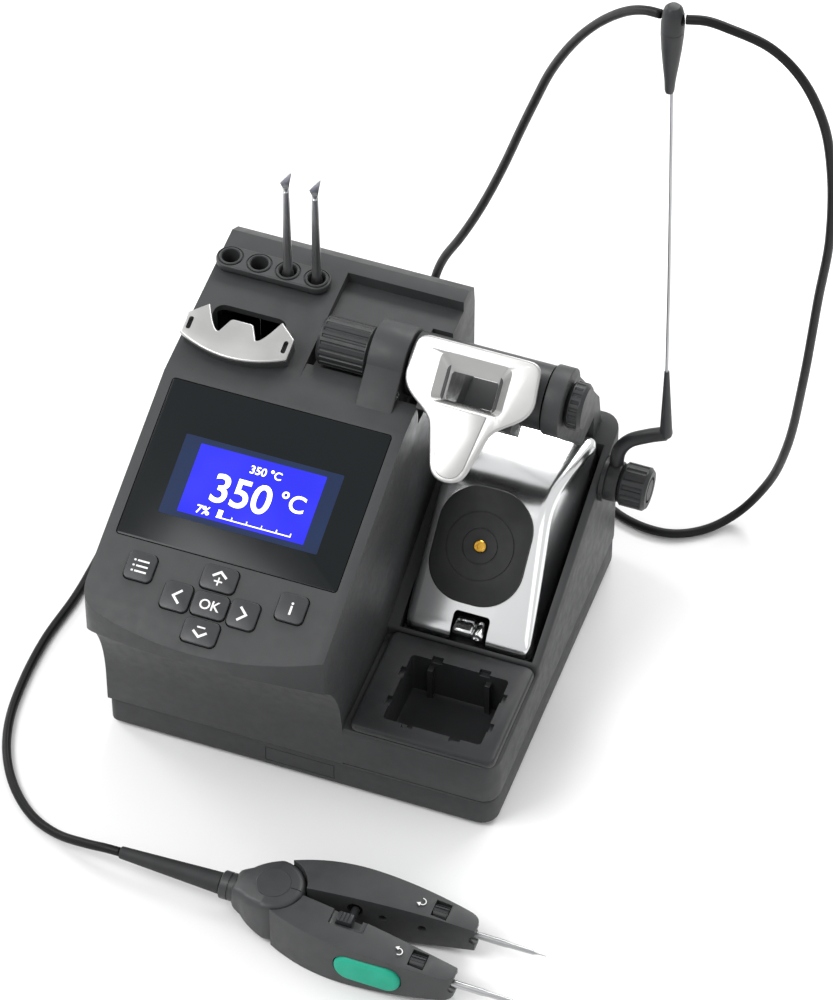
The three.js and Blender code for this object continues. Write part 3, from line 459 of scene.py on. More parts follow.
# %% Plastics
def moulded(name, dark, light, rough, grain_mm=0.45, depth_mm=0.012):
    """Spark-eroded mould grain: a fine pebble that scatters highlights, with a faint mottle."""
    material = surface(name, dark, rough, Specular_IOR_Level=0.36)
    varied(material, 9, 3, "Base Color", dark, light)
    varied(material, 4, 2, "Roughness", rough - 0.05, rough + 0.05)
    return relief(material, noise(material, grain_mm, 1), depth_mm)


# The casing and the base are ABS, and the base is a shade darker.
housing_abs = moulded("moulded_abs_charcoal", "#303132", "#333435", 0.5)
base_abs = moulded("moulded_abs_base", "#2c2d2e", "#2f3031", 0.52)
# Nylon parts, which take heat or wear, are smoother and mostly darker than the casing.
black_nylon = moulded("moulded_nylon_black", "#242526", "#27282a", 0.42, 0.4, 0.01)
handpiece_nylon = moulded("moulded_nylon_handpiece", "#323334", "#363738", 0.4, 0.35, 0.01)
key_cap = moulded("moulded_key_cap", "#2e2f31", "#313234", 0.38, 0.35, 0.006)
# Soft parts scatter more light, and the pad is the darkest of them.
rubber = moulded("moulded_rubber", "#222324", "#262728", 0.62, 0.5, 0.014)
pad_rubber = moulded("moulded_rubber_pad", "#191a1b", "#1d1e1f", 0.5, 0.5, 0.01)
teal_grip = moulded("moulded_elastomer_teal", "#0c9679", "#0f9c80", 0.5, 0.4, 0.01)
# The cable's silicone is almost black and hardly shines.
cable_jacket = moulded("silicone_jacket", "#0e0e0f", "#121213", 0.42, 0.6, 0.006)
shader_of(cable_jacket).inputs["Specular IOR Level"].default_value = 0.18

# %% Window, display and print
# Smoked acrylic: nearly black and smooth, with a coating that takes most of its reflection.
smoked_window = surface("smoked_acrylic", "#101416", 0.2, ior=1.49, Specular_IOR_Level=0.2)
varied(smoked_window, 30, 2, "Roughness", 0.18, 0.24)
# The lit panel glows blue through the window, so it gives light and hardly reflects any.
lit_blue = surface("backlit_blue", "#10104a", 0.5, Specular_IOR_Level=0.15, Emission_Strength=0.9)
shader_of(lit_blue).inputs["Emission Color"].default_value = srgb("#2b30ff")
varied(lit_blue, 22, 1, "Emission Color", "#262bf8", "#3337ff")
dim_blue = surface("display_margin", "#0a1a38", 0.3, Specular_IOR_Level=0.25, Emission_Strength=0.2)
shader_of(dim_blue).inputs["Emission Color"].default_value = srgb("#12305c")
varied(dim_blue, 15, 1, "Emission Color", "#0e2950", "#153663")
# The digits let the lamp behind them through, so they glow white.
lit_white = surface("lit_digits", "#ffffff", 0.5, Emission_Strength=0.9)
shader_of(lit_white).inputs["Emission Color"].default_value = srgb("#ffffff")
varied(lit_white, 5, 1, "Base Color", "#f4f4ff", "#ffffff")
# Pad-printed marks on the keys and arms are a flat off-white ink.
print_white = surface("pad_print", "#d9d9d9", 0.55)
varied(print_white, 2, 2, "Base Color", "#cfcfcf", "#dedede")


# %% Metals
def metal(name, dark, light, smooth, rough, grain_mm, depth_mm, stretch=None):
    """Bare or plated metal: its polish and tint drift slowly over the surface."""
    material = surface(name, dark, smooth, metallic=1.0)
    varied(material, grain_mm * 8, 3, "Base Color", dark, light)
    varied(material, grain_mm * 6, 1, "Roughness", smooth, rough, stretch)
    return relief(material, noise(material, grain_mm * 6, 0, stretch=stretch), depth_mm)


# Chrome plate over pressed steel, a little milky from wiping.
chrome = metal("chrome_plate", "#e2e3e4", "#ecedee", 0.15, 0.2, 12, 0.006)
# Satin nickel over die-cast metal, and plain turned steel.
satin_nickel = metal("satin_nickel", "#aeaead", "#b4b4b3", 0.34, 0.4, 2, 0.0006)
turned_steel = metal("turned_steel", "#a6a7a8", "#b2b3b4", 0.28, 0.36, 2, 0.0004)
# Brass for the screw and the earth jack, a taped copper winding, and green solder mask.
plain_brass = metal("plain_brass", "#b98a30", "#d2a64a", 0.2, 0.32, 0.8, 0.004)
winding_copper = metal("taped_winding", "#8f5526", "#a8672c", 0.35, 0.5, 1.2, 0.1, (1, 1, 6))
board_green = surface("solder_mask", "#1c5237", 0.4)
varied(board_green, 3, 3, "Base Color", "#174a30", "#236343")
print("materials:", len(bpy.data.materials))


# %% [markdown]
# ## Main housing
# The real housing is one ABS moulding. Its console part is the side profile and the plan outline
# crossed with each other, as when a block is sawn from two sides. The bay for the stand and
# the two hinge towers are joined on, the edges are rounded, and the pockets are cut last.

# %% Console block
LIP_Y, LIP_RADIUS, LIP_MID_X = -101.3, 137.0, -32.0
FRONT_Y, REAR_Y = -74.0, 74.0
SEAM_Z = 15.0
BAY_FLOOR = 36.0
TOP_Y, TOP_Z = 67.0, 135.3
WALL = 2.6


def console_z(y):
    """Height of the tilted console face."""
    return BREAK_Z + (y - BREAK_Y) * math.tan(CONSOLE_SLOPE)


def top_z(y):
    """Height of the gently sloping top face."""
    return BREAK_Z + (y - BREAK_Y) * (TOP_Z - BREAK_Z) / (TOP_Y - BREAK_Y)


def console_profile(inset=0.0):
    drop = inset / math.cos(CONSOLE_SLOPE)
    foot = SEAM_Z - (1 if inset else 0)
    lip = LIP_Y + 3 * inset
    front, rear = FRONT_Y + inset, REAR_Y - inset
    points = [(front, foot), (front, 32)]
    under_lip = (lip + 1, console_z(lip) - drop - 7 + 2 * inset)
    points += bend(points[-1], (front - 1, 66), under_lip, 18)
    points += [(lip, console_z(lip) - drop), (BREAK_Y, BREAK_Z - drop), (TOP_Y - inset, TOP_Z - drop),
               (rear - 1, TOP_Z - 4 - drop), (rear, 123), (rear, foot)]
    return points


def console_plan(inset=0.0):
    left, right_side, radius = inset - HALF_WIDTH, CONSOLE_RIGHT - inset, LIP_RADIUS - inset
    centre_y = LIP_Y + LIP_RADIUS

    def edge_angle(x):
        return -math.degrees(math.acos((x - LIP_MID_X) / radius))

    corner = (left + 8, centre_y + radius * math.sin(math.radians(edge_angle(left + 8))))
    points = [(left, REAR_Y), (left, LIP_Y + 17)]
    points += bend(points[-1], (left, LIP_Y + 8), corner, 10)
    points += arc(LIP_MID_X, centre_y, radius, edge_angle(left + 8), edge_angle(right_side), 24)[1:]
    return points + [(right_side, REAR_Y)]


def console_block(inset=0.0):
    side = prism(console_profile(inset), inset - HALF_WIDTH, CONSOLE_RIGHT - inset, ALONG_X)
    return combined(side, "INTERSECT", prism(console_plan(inset), 0, 150))


def bay_block(inset=0.0):
    foot = SEAM_Z - (1 if inset else 0)
    front, step, rear = FRONT_Y + inset, -24.5 + inset, REAR_Y - inset
    side = prism([(front, foot), (front, BAY_FLOOR - inset), (step, BAY_FLOOR - inset),
                  (step, BAY_FLOOR + 5 - inset), (60, 78 - inset), (rear, 81 - inset), (rear, foot)],
                 CONSOLE_RIGHT - 3.6, HALF_WIDTH - inset, ALONG_X)
    width, depth = 2 * (HALF_WIDTH - inset), REAR_Y - FRONT_Y - 2 * inset
    return combined(side, "INTERSECT", prism(rounded(width, depth, 7), 0, 150))


# The lower deck, and two hollows in it that clear the left knob and the tool holder.
DECK_FRONT, DECK_BACK, RIDGE_X = 8.0, 61.0, -29.0
housing = console_block()
cut(housing, block(RIDGE_X, 20, DECK_FRONT, DECK_BACK, top_z(DECK_FRONT), 150),
    block(RIDGE_X, -5.3, AXLE_Y - 11, AXLE_Y + 11, 121.5, 150),
    block(9.5, 20, DECK_FRONT + 2, DECK_BACK - 12, 119.6, 150))
eased(housing, 2.0, 4, 25)

# %% Bay and hinge towers
bay = eased(bay_block(), 1.2, 3, 25)
BOSS_RADIUS = 13.5
LEFT_TOWER, RIGHT_TOWER = (-5, 9.5), (64, 71)
left_tower = join(rod(BOSS_RADIUS, *LEFT_TOWER, AXLE_Y, AXLE_Z, sides=64),
                  prism([(-1, 126), (36, 126), (36, 143), (23, 145.8)], *LEFT_TOWER, ALONG_X))
right_tower = join(rod(BOSS_RADIUS, *RIGHT_TOWER, AXLE_Y, AXLE_Z, sides=64),
                   prism([(59, 74), (71, 74), (66, 97), (33, 145), (19, 122.2)], *RIGHT_TOWER, ALONG_X))
for tower in (left_tower, right_tower):
    eased(tower, 0.9, 3, 40)
join(housing, bay, left_tower, right_tower)

# %% Extractor block
seat_outline = [(-21, 0.5)] + bend((-21, 0.5), (0, -10), (21, 0.5))
seat_outline += [(21, 9), (15, 15), (-15, 15), (-21, 9)]
seat = eased(prism(seat_outline, -9, 0, EXTRACTOR), 0.7, 2, 40)
join(housing, seat)

# %% [markdown]
# The moulding is hollow, so the same block is built again, smaller all round by the wall, and cut
# out of it. Solid floors are kept under the recesses.

# %% Hollow inside
inside = join(console_block(WALL), bay_block(WALL))
cut(inside, block(RIDGE_X - WALL, 18, DECK_FRONT - WALL, DECK_BACK + WALL, 118, 150),
    block(-75, -38, 8, 30, 112, 150),
    block(CONSOLE_RIGHT - WALL, 80, -27.8, 62, BAY_FLOOR - WALL, 150))
cut(housing, inside)

# %% Pockets and openings
# On the console plane: width, height, and the middle's place across and up.
GLASS = (87.0, 64.5, 0.0, -34.4)
LCD = (62.7, 32.5, 0.3, -38.3)
STUD_HOLE = 3.3
# Each key's middle across and up, then its width and height.
KEYS = {
    "menu": (-29.8, -77.2, 11, 11), "info": (29.8, -77.2, 11, 11), "up": (0.2, -73.7, 13.6, 9.6),
    "ok": (0.2, -84.5, 13.6, 9.6), "down": (0.2, -95.3, 13.6, 9.6), "left": (-13, -84.5, 11, 11),
    "right": (13.4, -84.5, 11, 11),
}
RAIL_START, RAIL_PITCH, RAIL_Y = -73.0, 11.6, 51.5
RAIL_X = [RAIL_START + RAIL_PITCH * i for i in range(4)]
ARM_Y, ARM_Z = 51.0, 69.0


cut(housing,
    prism(rounded(29, 19.5, 4, -56.5, 22.2), 116, 150),
    block(-70, 10, 66, 76, 20, 112),
    block(22, 75.5, -23.5, 59.5, BAY_FLOOR, 92),
    block(29, 72, -69, -32, 30, 37),
    prism(rounded(GLASS[0] + 0.6, GLASS[1] + 0.6, 1.5, *GLASS[2:]), -1.8, 5, CONSOLE),
    prism(rounded(66.7, 36.5, 1, 0.3, -38.3), -8, -1, CONSOLE),
    block(-38.6, 38.6, -95.6, -63.4, -5.5, -2.6, CONSOLE),
    rod(STUD_HOLE, -6, 10.5, AXLE_Y, AXLE_Z), rod(STUD_HOLE, 63, 72, AXLE_Y, AXLE_Z),
    rod(STUD_HOLE, 68.5, 79.5, ARM_Y, ARM_Z))
for u, v, width, height in KEYS.values():
    cut(housing, prism(rounded(width + 0.7, height + 0.7, 2.4, u, v), -4.2, 3, CONSOLE))
for x in RAIL_X:
    cut(housing, prism(arc(x, RAIL_Y, 4.8, 0, 360, 32)[:-1], 108, 145))
finish(housing, "housing_shell", housing_abs, "control_unit", "housing", "main_housing")

# %% [markdown]
# ## Base tray
# The base is a shallow tray with the same outline. A fine dark gap between it and the housing
# shows where the two mouldings meet.

# %% Base tray
def base_plan(inset=0.0):
    """The right corners are rounder than the left ones."""
    corners = [(78, 74, 7, 0), (-78, 74, 3, 90), (-78, -74, 3, 180), (78, -74, 7, 270)]
    return [point for x, y, radius, turn in corners
            for point in arc(x - math.copysign(radius, x), y - math.copysign(radius, y),
                             max(radius - inset, 0.6), turn, turn + 90, 6)]


base = prism(base_plan(), 2, 14.7)
eased(base, 1.0, 3, 40)
cut(base, prism(base_plan(2.6), 4.6, 20), block(-14, 14, -74.6, -73.7, 4.6, 12.4))
join(base, block(-13.7, 13.7, -74, -72, 4.9, 12.1))
finish(base, "base_shell", base_abs, "control_unit", "base", "base_tray")

# %% [markdown]
# ## Window, display and keys
# The window is a sheet of smoked acrylic set flush in the console. The lit field, its darker
# margin and the digits lie just above it, because light seems to come from its surface.

# %% Window
window = prism(rounded(*GLASS[:2], 1.2, *GLASS[2:]), -1.5, 0, CONSOLE)
eased(window, 0.25, 2, 40)
finish(window, "window_sheet", smoked_window, "control_unit", "glass", "display_glass")


def lettering(text, size, u, v, height=0.05, thick=0.03):
    """Raised print on the console plane, made from a text object."""
    object_mode()
    bpy.ops.object.text_add()
    words = bpy.context.object
    words.data.body = text
    words.data.size = size
    words.data.align_x = "CENTER"
    words.data.extrude = thick
    words.data.offset = size * 0.012
    bpy.ops.object.convert(target="MESH")
    words = tidy_normals(bpy.context.object, 0.0001)
    words.data.transform(CONSOLE @ moved(u, v, height))
    return words


# %% Display
margin = prism(rounded(*LCD[:2], 0.6, *LCD[2:]), 0.02, 0.05, CONSOLE)
finish(margin, "display_margin", dim_blue, "control_unit", "lcd")
lit = prism(rounded(50, 28, 0.4, 0.6, -38.3), 0.06, 0.09, CONSOLE)
finish(lit, "display_field", lit_blue, "control_unit", "lcd")
digits = merged(
    lettering("350", 16, -3.2, -45, 0.12),
    lettering("°C", 9.5, 16.4, -41, 0.12),
    lettering("350 °C", 4.4, 3, -30.6, 0.12),
    lettering("7%", 4.6, -15, -50.9, 0.12),
    block(-9.5, 20, -50.8, -50.4, 0.1, 0.14, CONSOLE),
    *[block(x, x + 0.35, -50.5, -49.3, 0.1, 0.14, CONSOLE) for x in (-3.6, 2.3, 8.2, 14.1, 19.65)],
    block(-9.3, -7.4, -50.4, -47.6, 0.1, 0.14, CONSOLE))
finish(digits, "display_digits", lit_white, "control_unit", "lcd")

# %% Keys
def bar(x0, x1, y0, y1):
    return [(x0, y0), (x1, y0), (x1, y1), (x0, y1)]


# The marks as outlines about the middle of each key. The other two keys carry letters.
MARKS = {
    "menu": [bar(left, right_end, line - 0.35, line + 0.35)
             for left, right_end in ((-3, -2.2), (-1.6, 3)) for line in (-2.1, 0, 2.1)],
    "left": [[(-1.8, 0), (1.4, 3), (2, 2.3), (-0.5, 0), (2, -2.3), (1.4, -3)]],
    "right": [[(1.8, 0), (-1.4, -3), (-2, -2.3), (0.5, 0), (-2, 2.3), (-1.4, 3)]],
    "up": [[(0, 3.2), (-3, 0.9), (-2.4, 0.2), (0, 2), (2.4, 0.2), (3, 0.9)],
           bar(-1.6, 1.6, -1.5, -0.9), bar(-0.3, 0.3, -2.8, -1.5), bar(-0.3, 0.3, -0.9, 0.4)],
    "down": [[(0, -2.6), (3, -0.3), (2.4, 0.4), (0, -1.4), (-2.4, 0.4), (-3, -0.3)],
             bar(-1.6, 1.6, 1.4, 2)],
}
for name, (u, v, width, height) in KEYS.items():
    cap = prism(rounded(width, height, 2.2, u, v), -3.4, 1.2, CONSOLE)
    eased(cap, 0.35, 3, 40)
    finish(cap, f"key_{name}_cap", key_cap, f"key_{name}", "buttons", f"button_{name}")
    if name in MARKS:
        strokes = [prism([(u + x, v + y) for x, y in outline], 1.22, 1.26, CONSOLE)
                   for outline in MARKS[name]]
        mark = merged(*strokes)
    else:
        mark = lettering({"ok": "OK", "info": "i"}[name], {"ok": 5.4, "info": 7.5}[name], u,
                         v - {"ok": 1.9, "info": 2.6}[name], 1.24, 0.02)
    finish(mark, f"key_{name}_mark", print_white, f"key_{name}", "buttons")


# %% [markdown]
# ## Cartridge rail, spare cartridges and extractor
# The rail is a round-ended bar with four sleeves. Each hole has a raised collar, so an annular
# groove is turned round it. A spare cartridge is a slim steel tube that ends in a bevelled blade.

# %% Rail
rail_foot = top_z(RAIL_Y + 5.6) + 0.3
rail_top = rail_foot + 3
rail_span = RAIL_X[-1] - RAIL_X[0]
rail_outline = rounded(rail_span + 11.2, 11.2, 5.5, RAIL_START + rail_span / 2, RAIL_Y, 10)
rail = eased(prism(rail_outline, rail_foot, rail_top), 0.7, 3, 40)
for x in RAIL_X:
    here = moved(x, RAIL_Y, rail_top)
    cut(rail, turned([(4.5, -0.5), (5.05, -0.5), (5.05, 1), (4.5, 1)], here, 40))
    collar = [(3.7, -1.2), (4.5, -1.2), (4.5, 0.1), (4.2, 0.4), (3.9, 0.4), (3.7, 0.2)]
    join(rail, turned(collar, here, 40))
    join(rail, prism(arc(x, RAIL_Y, 4.4, 0, 360, 32)[:-1], rail_top - 26, rail_foot + 1))
for x in RAIL_X:
    cut(rail, prism(arc(x, RAIL_Y, 3.5, 0, 360, 32)[:-1], rail_top - 24, rail_top + 3))
finish(rail, "cartridge_rail_bar", housing_abs, "control_unit", "housing", "cartridge_rail")

# %% Spare cartridges
for i in (2, 3):
    stand = moved(RAIL_X[i], RAIL_Y, top_z(RAIL_Y) - 19.4)
    shaft = turned([(0, 0), (2.3, 0), (2.3, 22), (1.8, 24), (1.6, 42), (1.45, 58), (1.3, 66),
                    (0.9, 66.4), (0.9, 67.2), (1.3, 67.5), (1.3, 68.4), (0, 68.4)], stand, 32)
    blade = prism([(-1.2, 68), (1.2, 68), (1.5, 70.5), (2.4, 75.8), (1.4, 75.2), (-2.1, 70.4)],
                  -0.4, 0.4, stand @ Matrix.Rotation(math.radians(20), 4, "Z") @ ALONG_Y)
    eased(blade, 0.12, 2, 40)
    finish(merged(shaft, blade), f"spare_cartridge_{i - 1}_body", turned_steel, f"cartridge_{i - 1}",
           "steel", f"spare_cartridge_{i - 1}")

# %% Extractor plate
plate_outline = [(-21.5, 0)] + bend((-21.5, 0), (0, -11), (21.5, 0)) + [(21.5, 9), (14.5, 15)]
plate_outline += bend(plate_outline[-1], (9.6, 4.2), (7.4, 4.6), 6)
plate_outline += [(4.7, 10.2), (3.8, 10.9), (-3.8, 10.9), (-4.7, 10.2), (-7.4, 4.6)]
plate_outline += bend(plate_outline[-1], (-9.6, 4.2), (-14.5, 15), 6) + [(-21.5, 9)]
plate = prism(plate_outline, 0.3, 2.4, EXTRACTOR)
eased(plate, 0.7, 4, 35)
for u in (-19, 19):
    cut(plate, prism(rounded(1.8, 5.4, 0.8, u, 4.8), -1, 4, EXTRACTOR))
finish(plate, "extractor_plate", satin_nickel, "control_unit", "cast_metal", "cartridge_extractor")

# %% [markdown]
# ## Stand cover
# The cover is bent and pressed from plated sheet: a steep front, a wide round bend, a flat top and
# a leaning right wall. It is built as a solid, given large soft edges, and hollowed from below.

# %% Stand cover
COVER_LEFT, COVER_RIGHT, COVER_FRONT, COVER_BACK = 23, 74.5, -22.5, 58.5
COVER_FOOT, COVER_SLOPE_FOOT, COVER_TOP = 36.3, 44.5, 84


def cover_profile(inset):
    y0, top = COVER_FRONT + inset, COVER_TOP - inset
    run = (COVER_TOP - COVER_SLOPE_FOOT) / math.tan(math.radians(42))
    foot = COVER_FOOT - (1 if inset else 0)
    points = [(y0, foot), (y0 + 1, COVER_SLOPE_FOOT - inset / 2), (y0 + run - 9, 75.6 - inset / 2)]
    points += bend(points[-1], (y0 + run, top), (y0 + run + 14, top), 14)
    return points + [(COVER_BACK - inset, top), (COVER_BACK - inset, foot)]


# The right wall lies in one plane: which way it faces, and how far it is from the middle.
SIDE_FACING, SIDE_DISTANCE = Vector((0.9065, -0.1956, 0.3742)).normalized(), 87.6


def cover_block(inset, wall_edge):
    """The right wall leans in, more at the front than at the back, so its corners are moved in."""
    shell = prism(cover_profile(inset), COVER_LEFT + inset, COVER_RIGHT, ALONG_X)
    for vertex in shell.data.vertices:
        if vertex.co.x > COVER_RIGHT - 1:
            behind = SIDE_FACING.y * vertex.co.y + SIDE_FACING.z * vertex.co.z
            vertex.co.x = min(COVER_RIGHT, (SIDE_DISTANCE - behind) / SIDE_FACING.x) - inset
    return eased(shell, wall_edge, 7, 32)


cover = cover_block(0, 5)
cut(cover, block(20, 80, -30, 65, 20, COVER_FOOT))
cut(cover, cover_block(1.6, 3.6))
cut(cover, eased(block(41.5, 56, -26, -13.5, 20, 50.2), 1.4, 4, 40))
finish(cover, "stand_cover_shell", chrome, "control_unit", "chrome", "stand_cover")

# %% Pad with turned rings, and its screw
pad = prism(rounded(37, 45.2, 15.5, -3.4, 34, 12), 0.8, 2.2, COVER)
eased(pad, 0.6, 3, 40)
pad_middle = COVER @ moved(-3.4, 34, 2.2)
for radius in (13.2, 6.8):
    inner, outer = radius - 0.3, radius + 0.3
    cut(pad, turned([(inner, -0.45), (outer, -0.45), (outer, 1), (inner, 1)], pad_middle, 64))
finish(pad, "stand_pad_sheet", pad_rubber, "control_unit", "rubber", "stand_pad")
screw = turned([(0, 0.3), (2.3, 0.3), (2.4, 0.5), (2.4, 1.3), (2.0, 1.7), (0, 1.7)], pad_middle, 32)
cut(screw, prism(arc(0, 0, 1.2, 0, 360, 6)[:-1], 0.9, 3, pad_middle))
finish(screw, "pad_screw_head", plain_brass, "control_unit", "brass", "pad_screw")

# %% Latch
latch = eased(block(43, 51, -20, -15, 36.3, 46), 1.2, 4, 40)
pin = turned([(0, 0), (2.2, 0), (2.6, 0.5), (2.6, 6.6), (2.1, 7.2), (1.2, 7.2), (1, 6.6), (0, 6.6)],
             moved(52.4, -14.6, 44.4) @ TO_FRONT, 32)
plate_arm = eased(block(42.6, 50.4, -22, -14.6, 43.4, 47), 1, 3, 40)
finish(join(latch, pin, plate_arm), "cover_latch_block", chrome, "control_unit", "steel", "cover_latch")

# %% [markdown]
# ## Cleaning tray
# A nylon tray with a bevelled rim and a square well that holds wire wool or a sponge. Two small
# notches on each side of the well let it be lifted out.

# %% Cleaning tray
WELL = (50.5, -50.5)
tray = eased(prism(rounded(57.4, 49.2, 3, 48.7, -49.4), 36.3, 40.3), 1.3, 3, 40)
well_body = eased(prism(rounded(42, 36, 3, *WELL), 19, 37), 1, 3, 40)
join(tray, well_body)
cut(tray, eased(prism(rounded(39, 33, 1.5, *WELL), 20.5, 44), 0.6, 2, 40))
for x in (41, 60):
    cut(tray, block(x - 2.2, x + 2.2, -69, -32, 38.6, 42))
for y in (-58, -43):
    cut(tray, block(29.3, 71.7, y - 2.2, y + 2.2, 38.6, 42))
for x in (39, 62):
    for y in (-65.9, -35.1):
        join(tray, block(x - 1, x + 1, y - 1.6, y + 1.6, 20, 36.5))
finish(tray, "cleaning_tray_shell", black_nylon, "tray", "black_plastic", "cleaning_tray")

# %% [markdown]
# ## Tool holder
# The dark barrel turns between the towers. The bright face is die-cast metal: a wide rounded frame
# whose window funnels down to the barrel, with a tongue below that guides the iron in.

# %% Holder body
body = join(rod(12.6, 10.6, 63.4, AXLE_Y, AXLE_Z, sides=72),
            block(-18.5, 18.5, -17, 8, -2, 14.9, HOLDER))
eased(body, 0.8, 3, 40)
cut(body, block(-9.7, 9.7, -11.5, 6, -20, 20, HOLDER), rod(STUD_HOLE, 9, 20, AXLE_Y, AXLE_Z),
    rod(STUD_HOLE, 54, 65, AXLE_Y, AXLE_Z))
finish(body, "holder_barrel", black_nylon, "holder", "black_plastic", "holder_body")

# %% Holder face
def funnel(rim, rim_z, throat, throat_z, place):
    """A hole that narrows from a rim to a throat; each is width, height, corner, middle u, middle v."""
    hole = prism(rounded(*rim, 8), throat_z, rim_z)
    for vertex in hole.data.vertices:
        if vertex.co.z < (rim_z + throat_z) / 2:
            vertex.co.x = throat[3] + (vertex.co.x - rim[3]) * throat[0] / rim[0]
            vertex.co.y = throat[4] + (vertex.co.y - rim[4]) * throat[1] / rim[1]
    hole.data.transform(place)
    return hole


# Each edge is drawn for one half and mirrored for the other.
half = [(24.5, 5)] + bend((24.5, 5), (24.4, 10.6), (19, 10.6), 6)
lower = cubic((-25.3, -4), (-25.3, -14), (-13, -15), (-11.2, -22)) + [(-7.6, -35)]
lower += bend((-7.6, -35), (-6, -41), (0, -41), 8)
mirror = [(-x, y) for x, y in reversed(lower[:-1])]
upper = half + [(-x, y) for x, y in reversed(half)]
face_outline = upper + [(-25.3, -4)] + lower + mirror + [(25.3, -4)]
face = eased(prism(face_outline, 15.2, 17.6, HOLDER), 0.9, 4, 30)
join(face, prism(rounded(30, 21.5, 3, 0.1, -3.2, 8), 12.4, 16.5, HOLDER))
cut(face, funnel((28.4, 19.6, 3, 0.1, -3.2), 17.8, (18.4, 11, 1, 0.1, -5.5), 13.4, HOLDER),
    prism(rounded(18.4, 11, 1.2, 0.1, -5.5, 8), 8, 14, HOLDER))
eased(face, 0.4, 3, 35)
tongue = [(-9, -13.6), (9, -13.6), (5.9, -34)] + bend((5.9, -34), (4.6, -39.4), (0, -39.4), 8)
tongue += bend((0, -39.4), (-4.6, -39.4), (-5.9, -34), 8)
tongue_plate = eased(prism(tongue, 17.2, 18.2, HOLDER), 0.35, 3, 40)
finish(join(face, tongue_plate), "holder_face_frame", satin_nickel, "holder", "cast_metal", "holder_face")


# %% [markdown]
# ## Clamp knobs
# Each knob is turned from a profile and then fluted with a ring of small round cuts, so that
# fingers can grip it. Its stud runs through the tower into the barrel.

# %% Fluted knobs
def fluted(radius, length, count, depth, place):
    """A knob with rounded ends and a ring of grooves; each groove's axis is `depth` outside it."""
    crown = 1.2
    knob = turned([(0, 0), (radius - crown, 0), (radius, crown), (radius, length - crown),
                   (radius - crown, length), (0, length)], place, 64)
    flute = prism(arc(0, 0, radius * math.pi / count * 0.62, 0, 360, 12)[:-1], 1.6, length - 1.6)
    for i in range(count):
        turn = Matrix.Rotation(2 * math.pi * i / count, 4, "Z")
        cut(knob, copy_of(flute, place @ turn @ moved(radius + depth, 0, 0)))
    bpy.data.objects.remove(flute)
    return knob


def along_x(x, y, z):
    return moved(x, y, z) @ TO_RIGHT


STUD = 3.0
left_knob = fluted(9.6, 20.7, 22, 0.35, along_x(-26.5, AXLE_Y, AXLE_Z))
join(left_knob, rod(STUD, -6, 17, AXLE_Y, AXLE_Z, sides=32))
finish(left_knob, "left_clamp_knob_grip", black_nylon, "left_knob", "black_plastic", "left_clamp_knob")
right_knob = fluted(9.2, 6.5, 20, 0.35, along_x(71.5, AXLE_Y, AXLE_Z))
join(right_knob, rod(STUD, 56, 72, AXLE_Y, AXLE_Z, sides=32))
finish(right_knob, "right_clamp_knob_grip", black_nylon, "right_knob", "black_plastic",
       "right_clamp_knob")

# %% [markdown]
# ## Cable arm
# The arm is a nylon limb with a round lug, sat on a washer and clamped by a lobed knob. It carries
# a spring wire, and the wire carries a drop-shaped clip that the cable passes through.

# %% Arm, knob, wire and clip
WIRE_Y, CLIP_X = 60, 94
lug = eased(rod(8, 80, 85.5, ARM_Y, ARM_Z, sides=64), 0.7, 3, 40)
join(lug, rod(9, 78.8, 80.4, ARM_Y, ARM_Z, sides=64))
limb_line = flowing([(82.7, 52.5, 72), (82.9, 55, 82), (86, 57, 86.6), (92.5, 59, 89.8),
                     (99.4, 60, 92.8)], 8)
limb = tube(limb_line, 2.8, 24)
elbow = turned([(0, -2.2), (1.4, -1.8), (2.3, -0.9), (2.6, 0.4), (2.35, 3), (1.0, 34), (0, 34.2)],
               moved(99.6, 60, 93) @ Matrix.Rotation(math.radians(-1.6), 4, "Y"), 32)
arm = join(lug, limb, elbow)
cut(arm, rod(STUD_HOLE, 77, 87, ARM_Y, ARM_Z))
finish(arm, "cable_arm_limb", black_nylon, "arm", "black_plastic", "cable_arm")
knob = fluted(8.6, 11.2, 14, 0.5, along_x(85.8, ARM_Y, ARM_Z))
join(knob, rod(STUD, 76.1, 86.5, ARM_Y, ARM_Z, sides=32))
cut(knob, turned([(4.2, -0.6), (5.2, -0.6), (5.2, 1), (4.2, 1)], along_x(97, ARM_Y, ARM_Z), 48))
finish(knob, "arm_knob_grip", black_nylon, "arm_clamp", "black_plastic", "arm_knob")
wire = tube([(98.8, WIRE_Y, 118), (98.6, WIRE_Y, 126), (97.6, WIRE_Y, 174), (96.3, WIRE_Y, 222),
             (94.9, WIRE_Y, 270), (94.6, WIRE_Y, 278)], 0.6, 16)
finish(wire, "spring_wire", turned_steel, "arm", "steel", "spring_rod")
clip = turned([(0, 0), (1.5, 0), (1.8, 1), (2.1, 6), (3.0, 14), (3.7, 21), (4.2, 28), (4.3, 33),
               (4.1, 37), (3.3, 40), (2.2, 41.2), (0, 41.5)],
              moved(CLIP_X, WIRE_Y, 271), 40)
cut(clip, rod(2.3, 88, 100, WIRE_Y, 307, sides=24))
groove = turned([(4.0, 0), (5, -0.5), (5, 0.5)], moved(CLIP_X, WIRE_Y, 301), 40)
cut(clip, groove)
finish(clip, "cable_clip_body", black_nylon, "arm", "black_plastic", "cable_clip")


# %% [markdown]
# ## Rear panel and its fittings
# The back holds what the station is plugged in by: a mains inlet with its fuse drawer, a rocker
# switch, an earth jack, and the round connector of the tool cable.

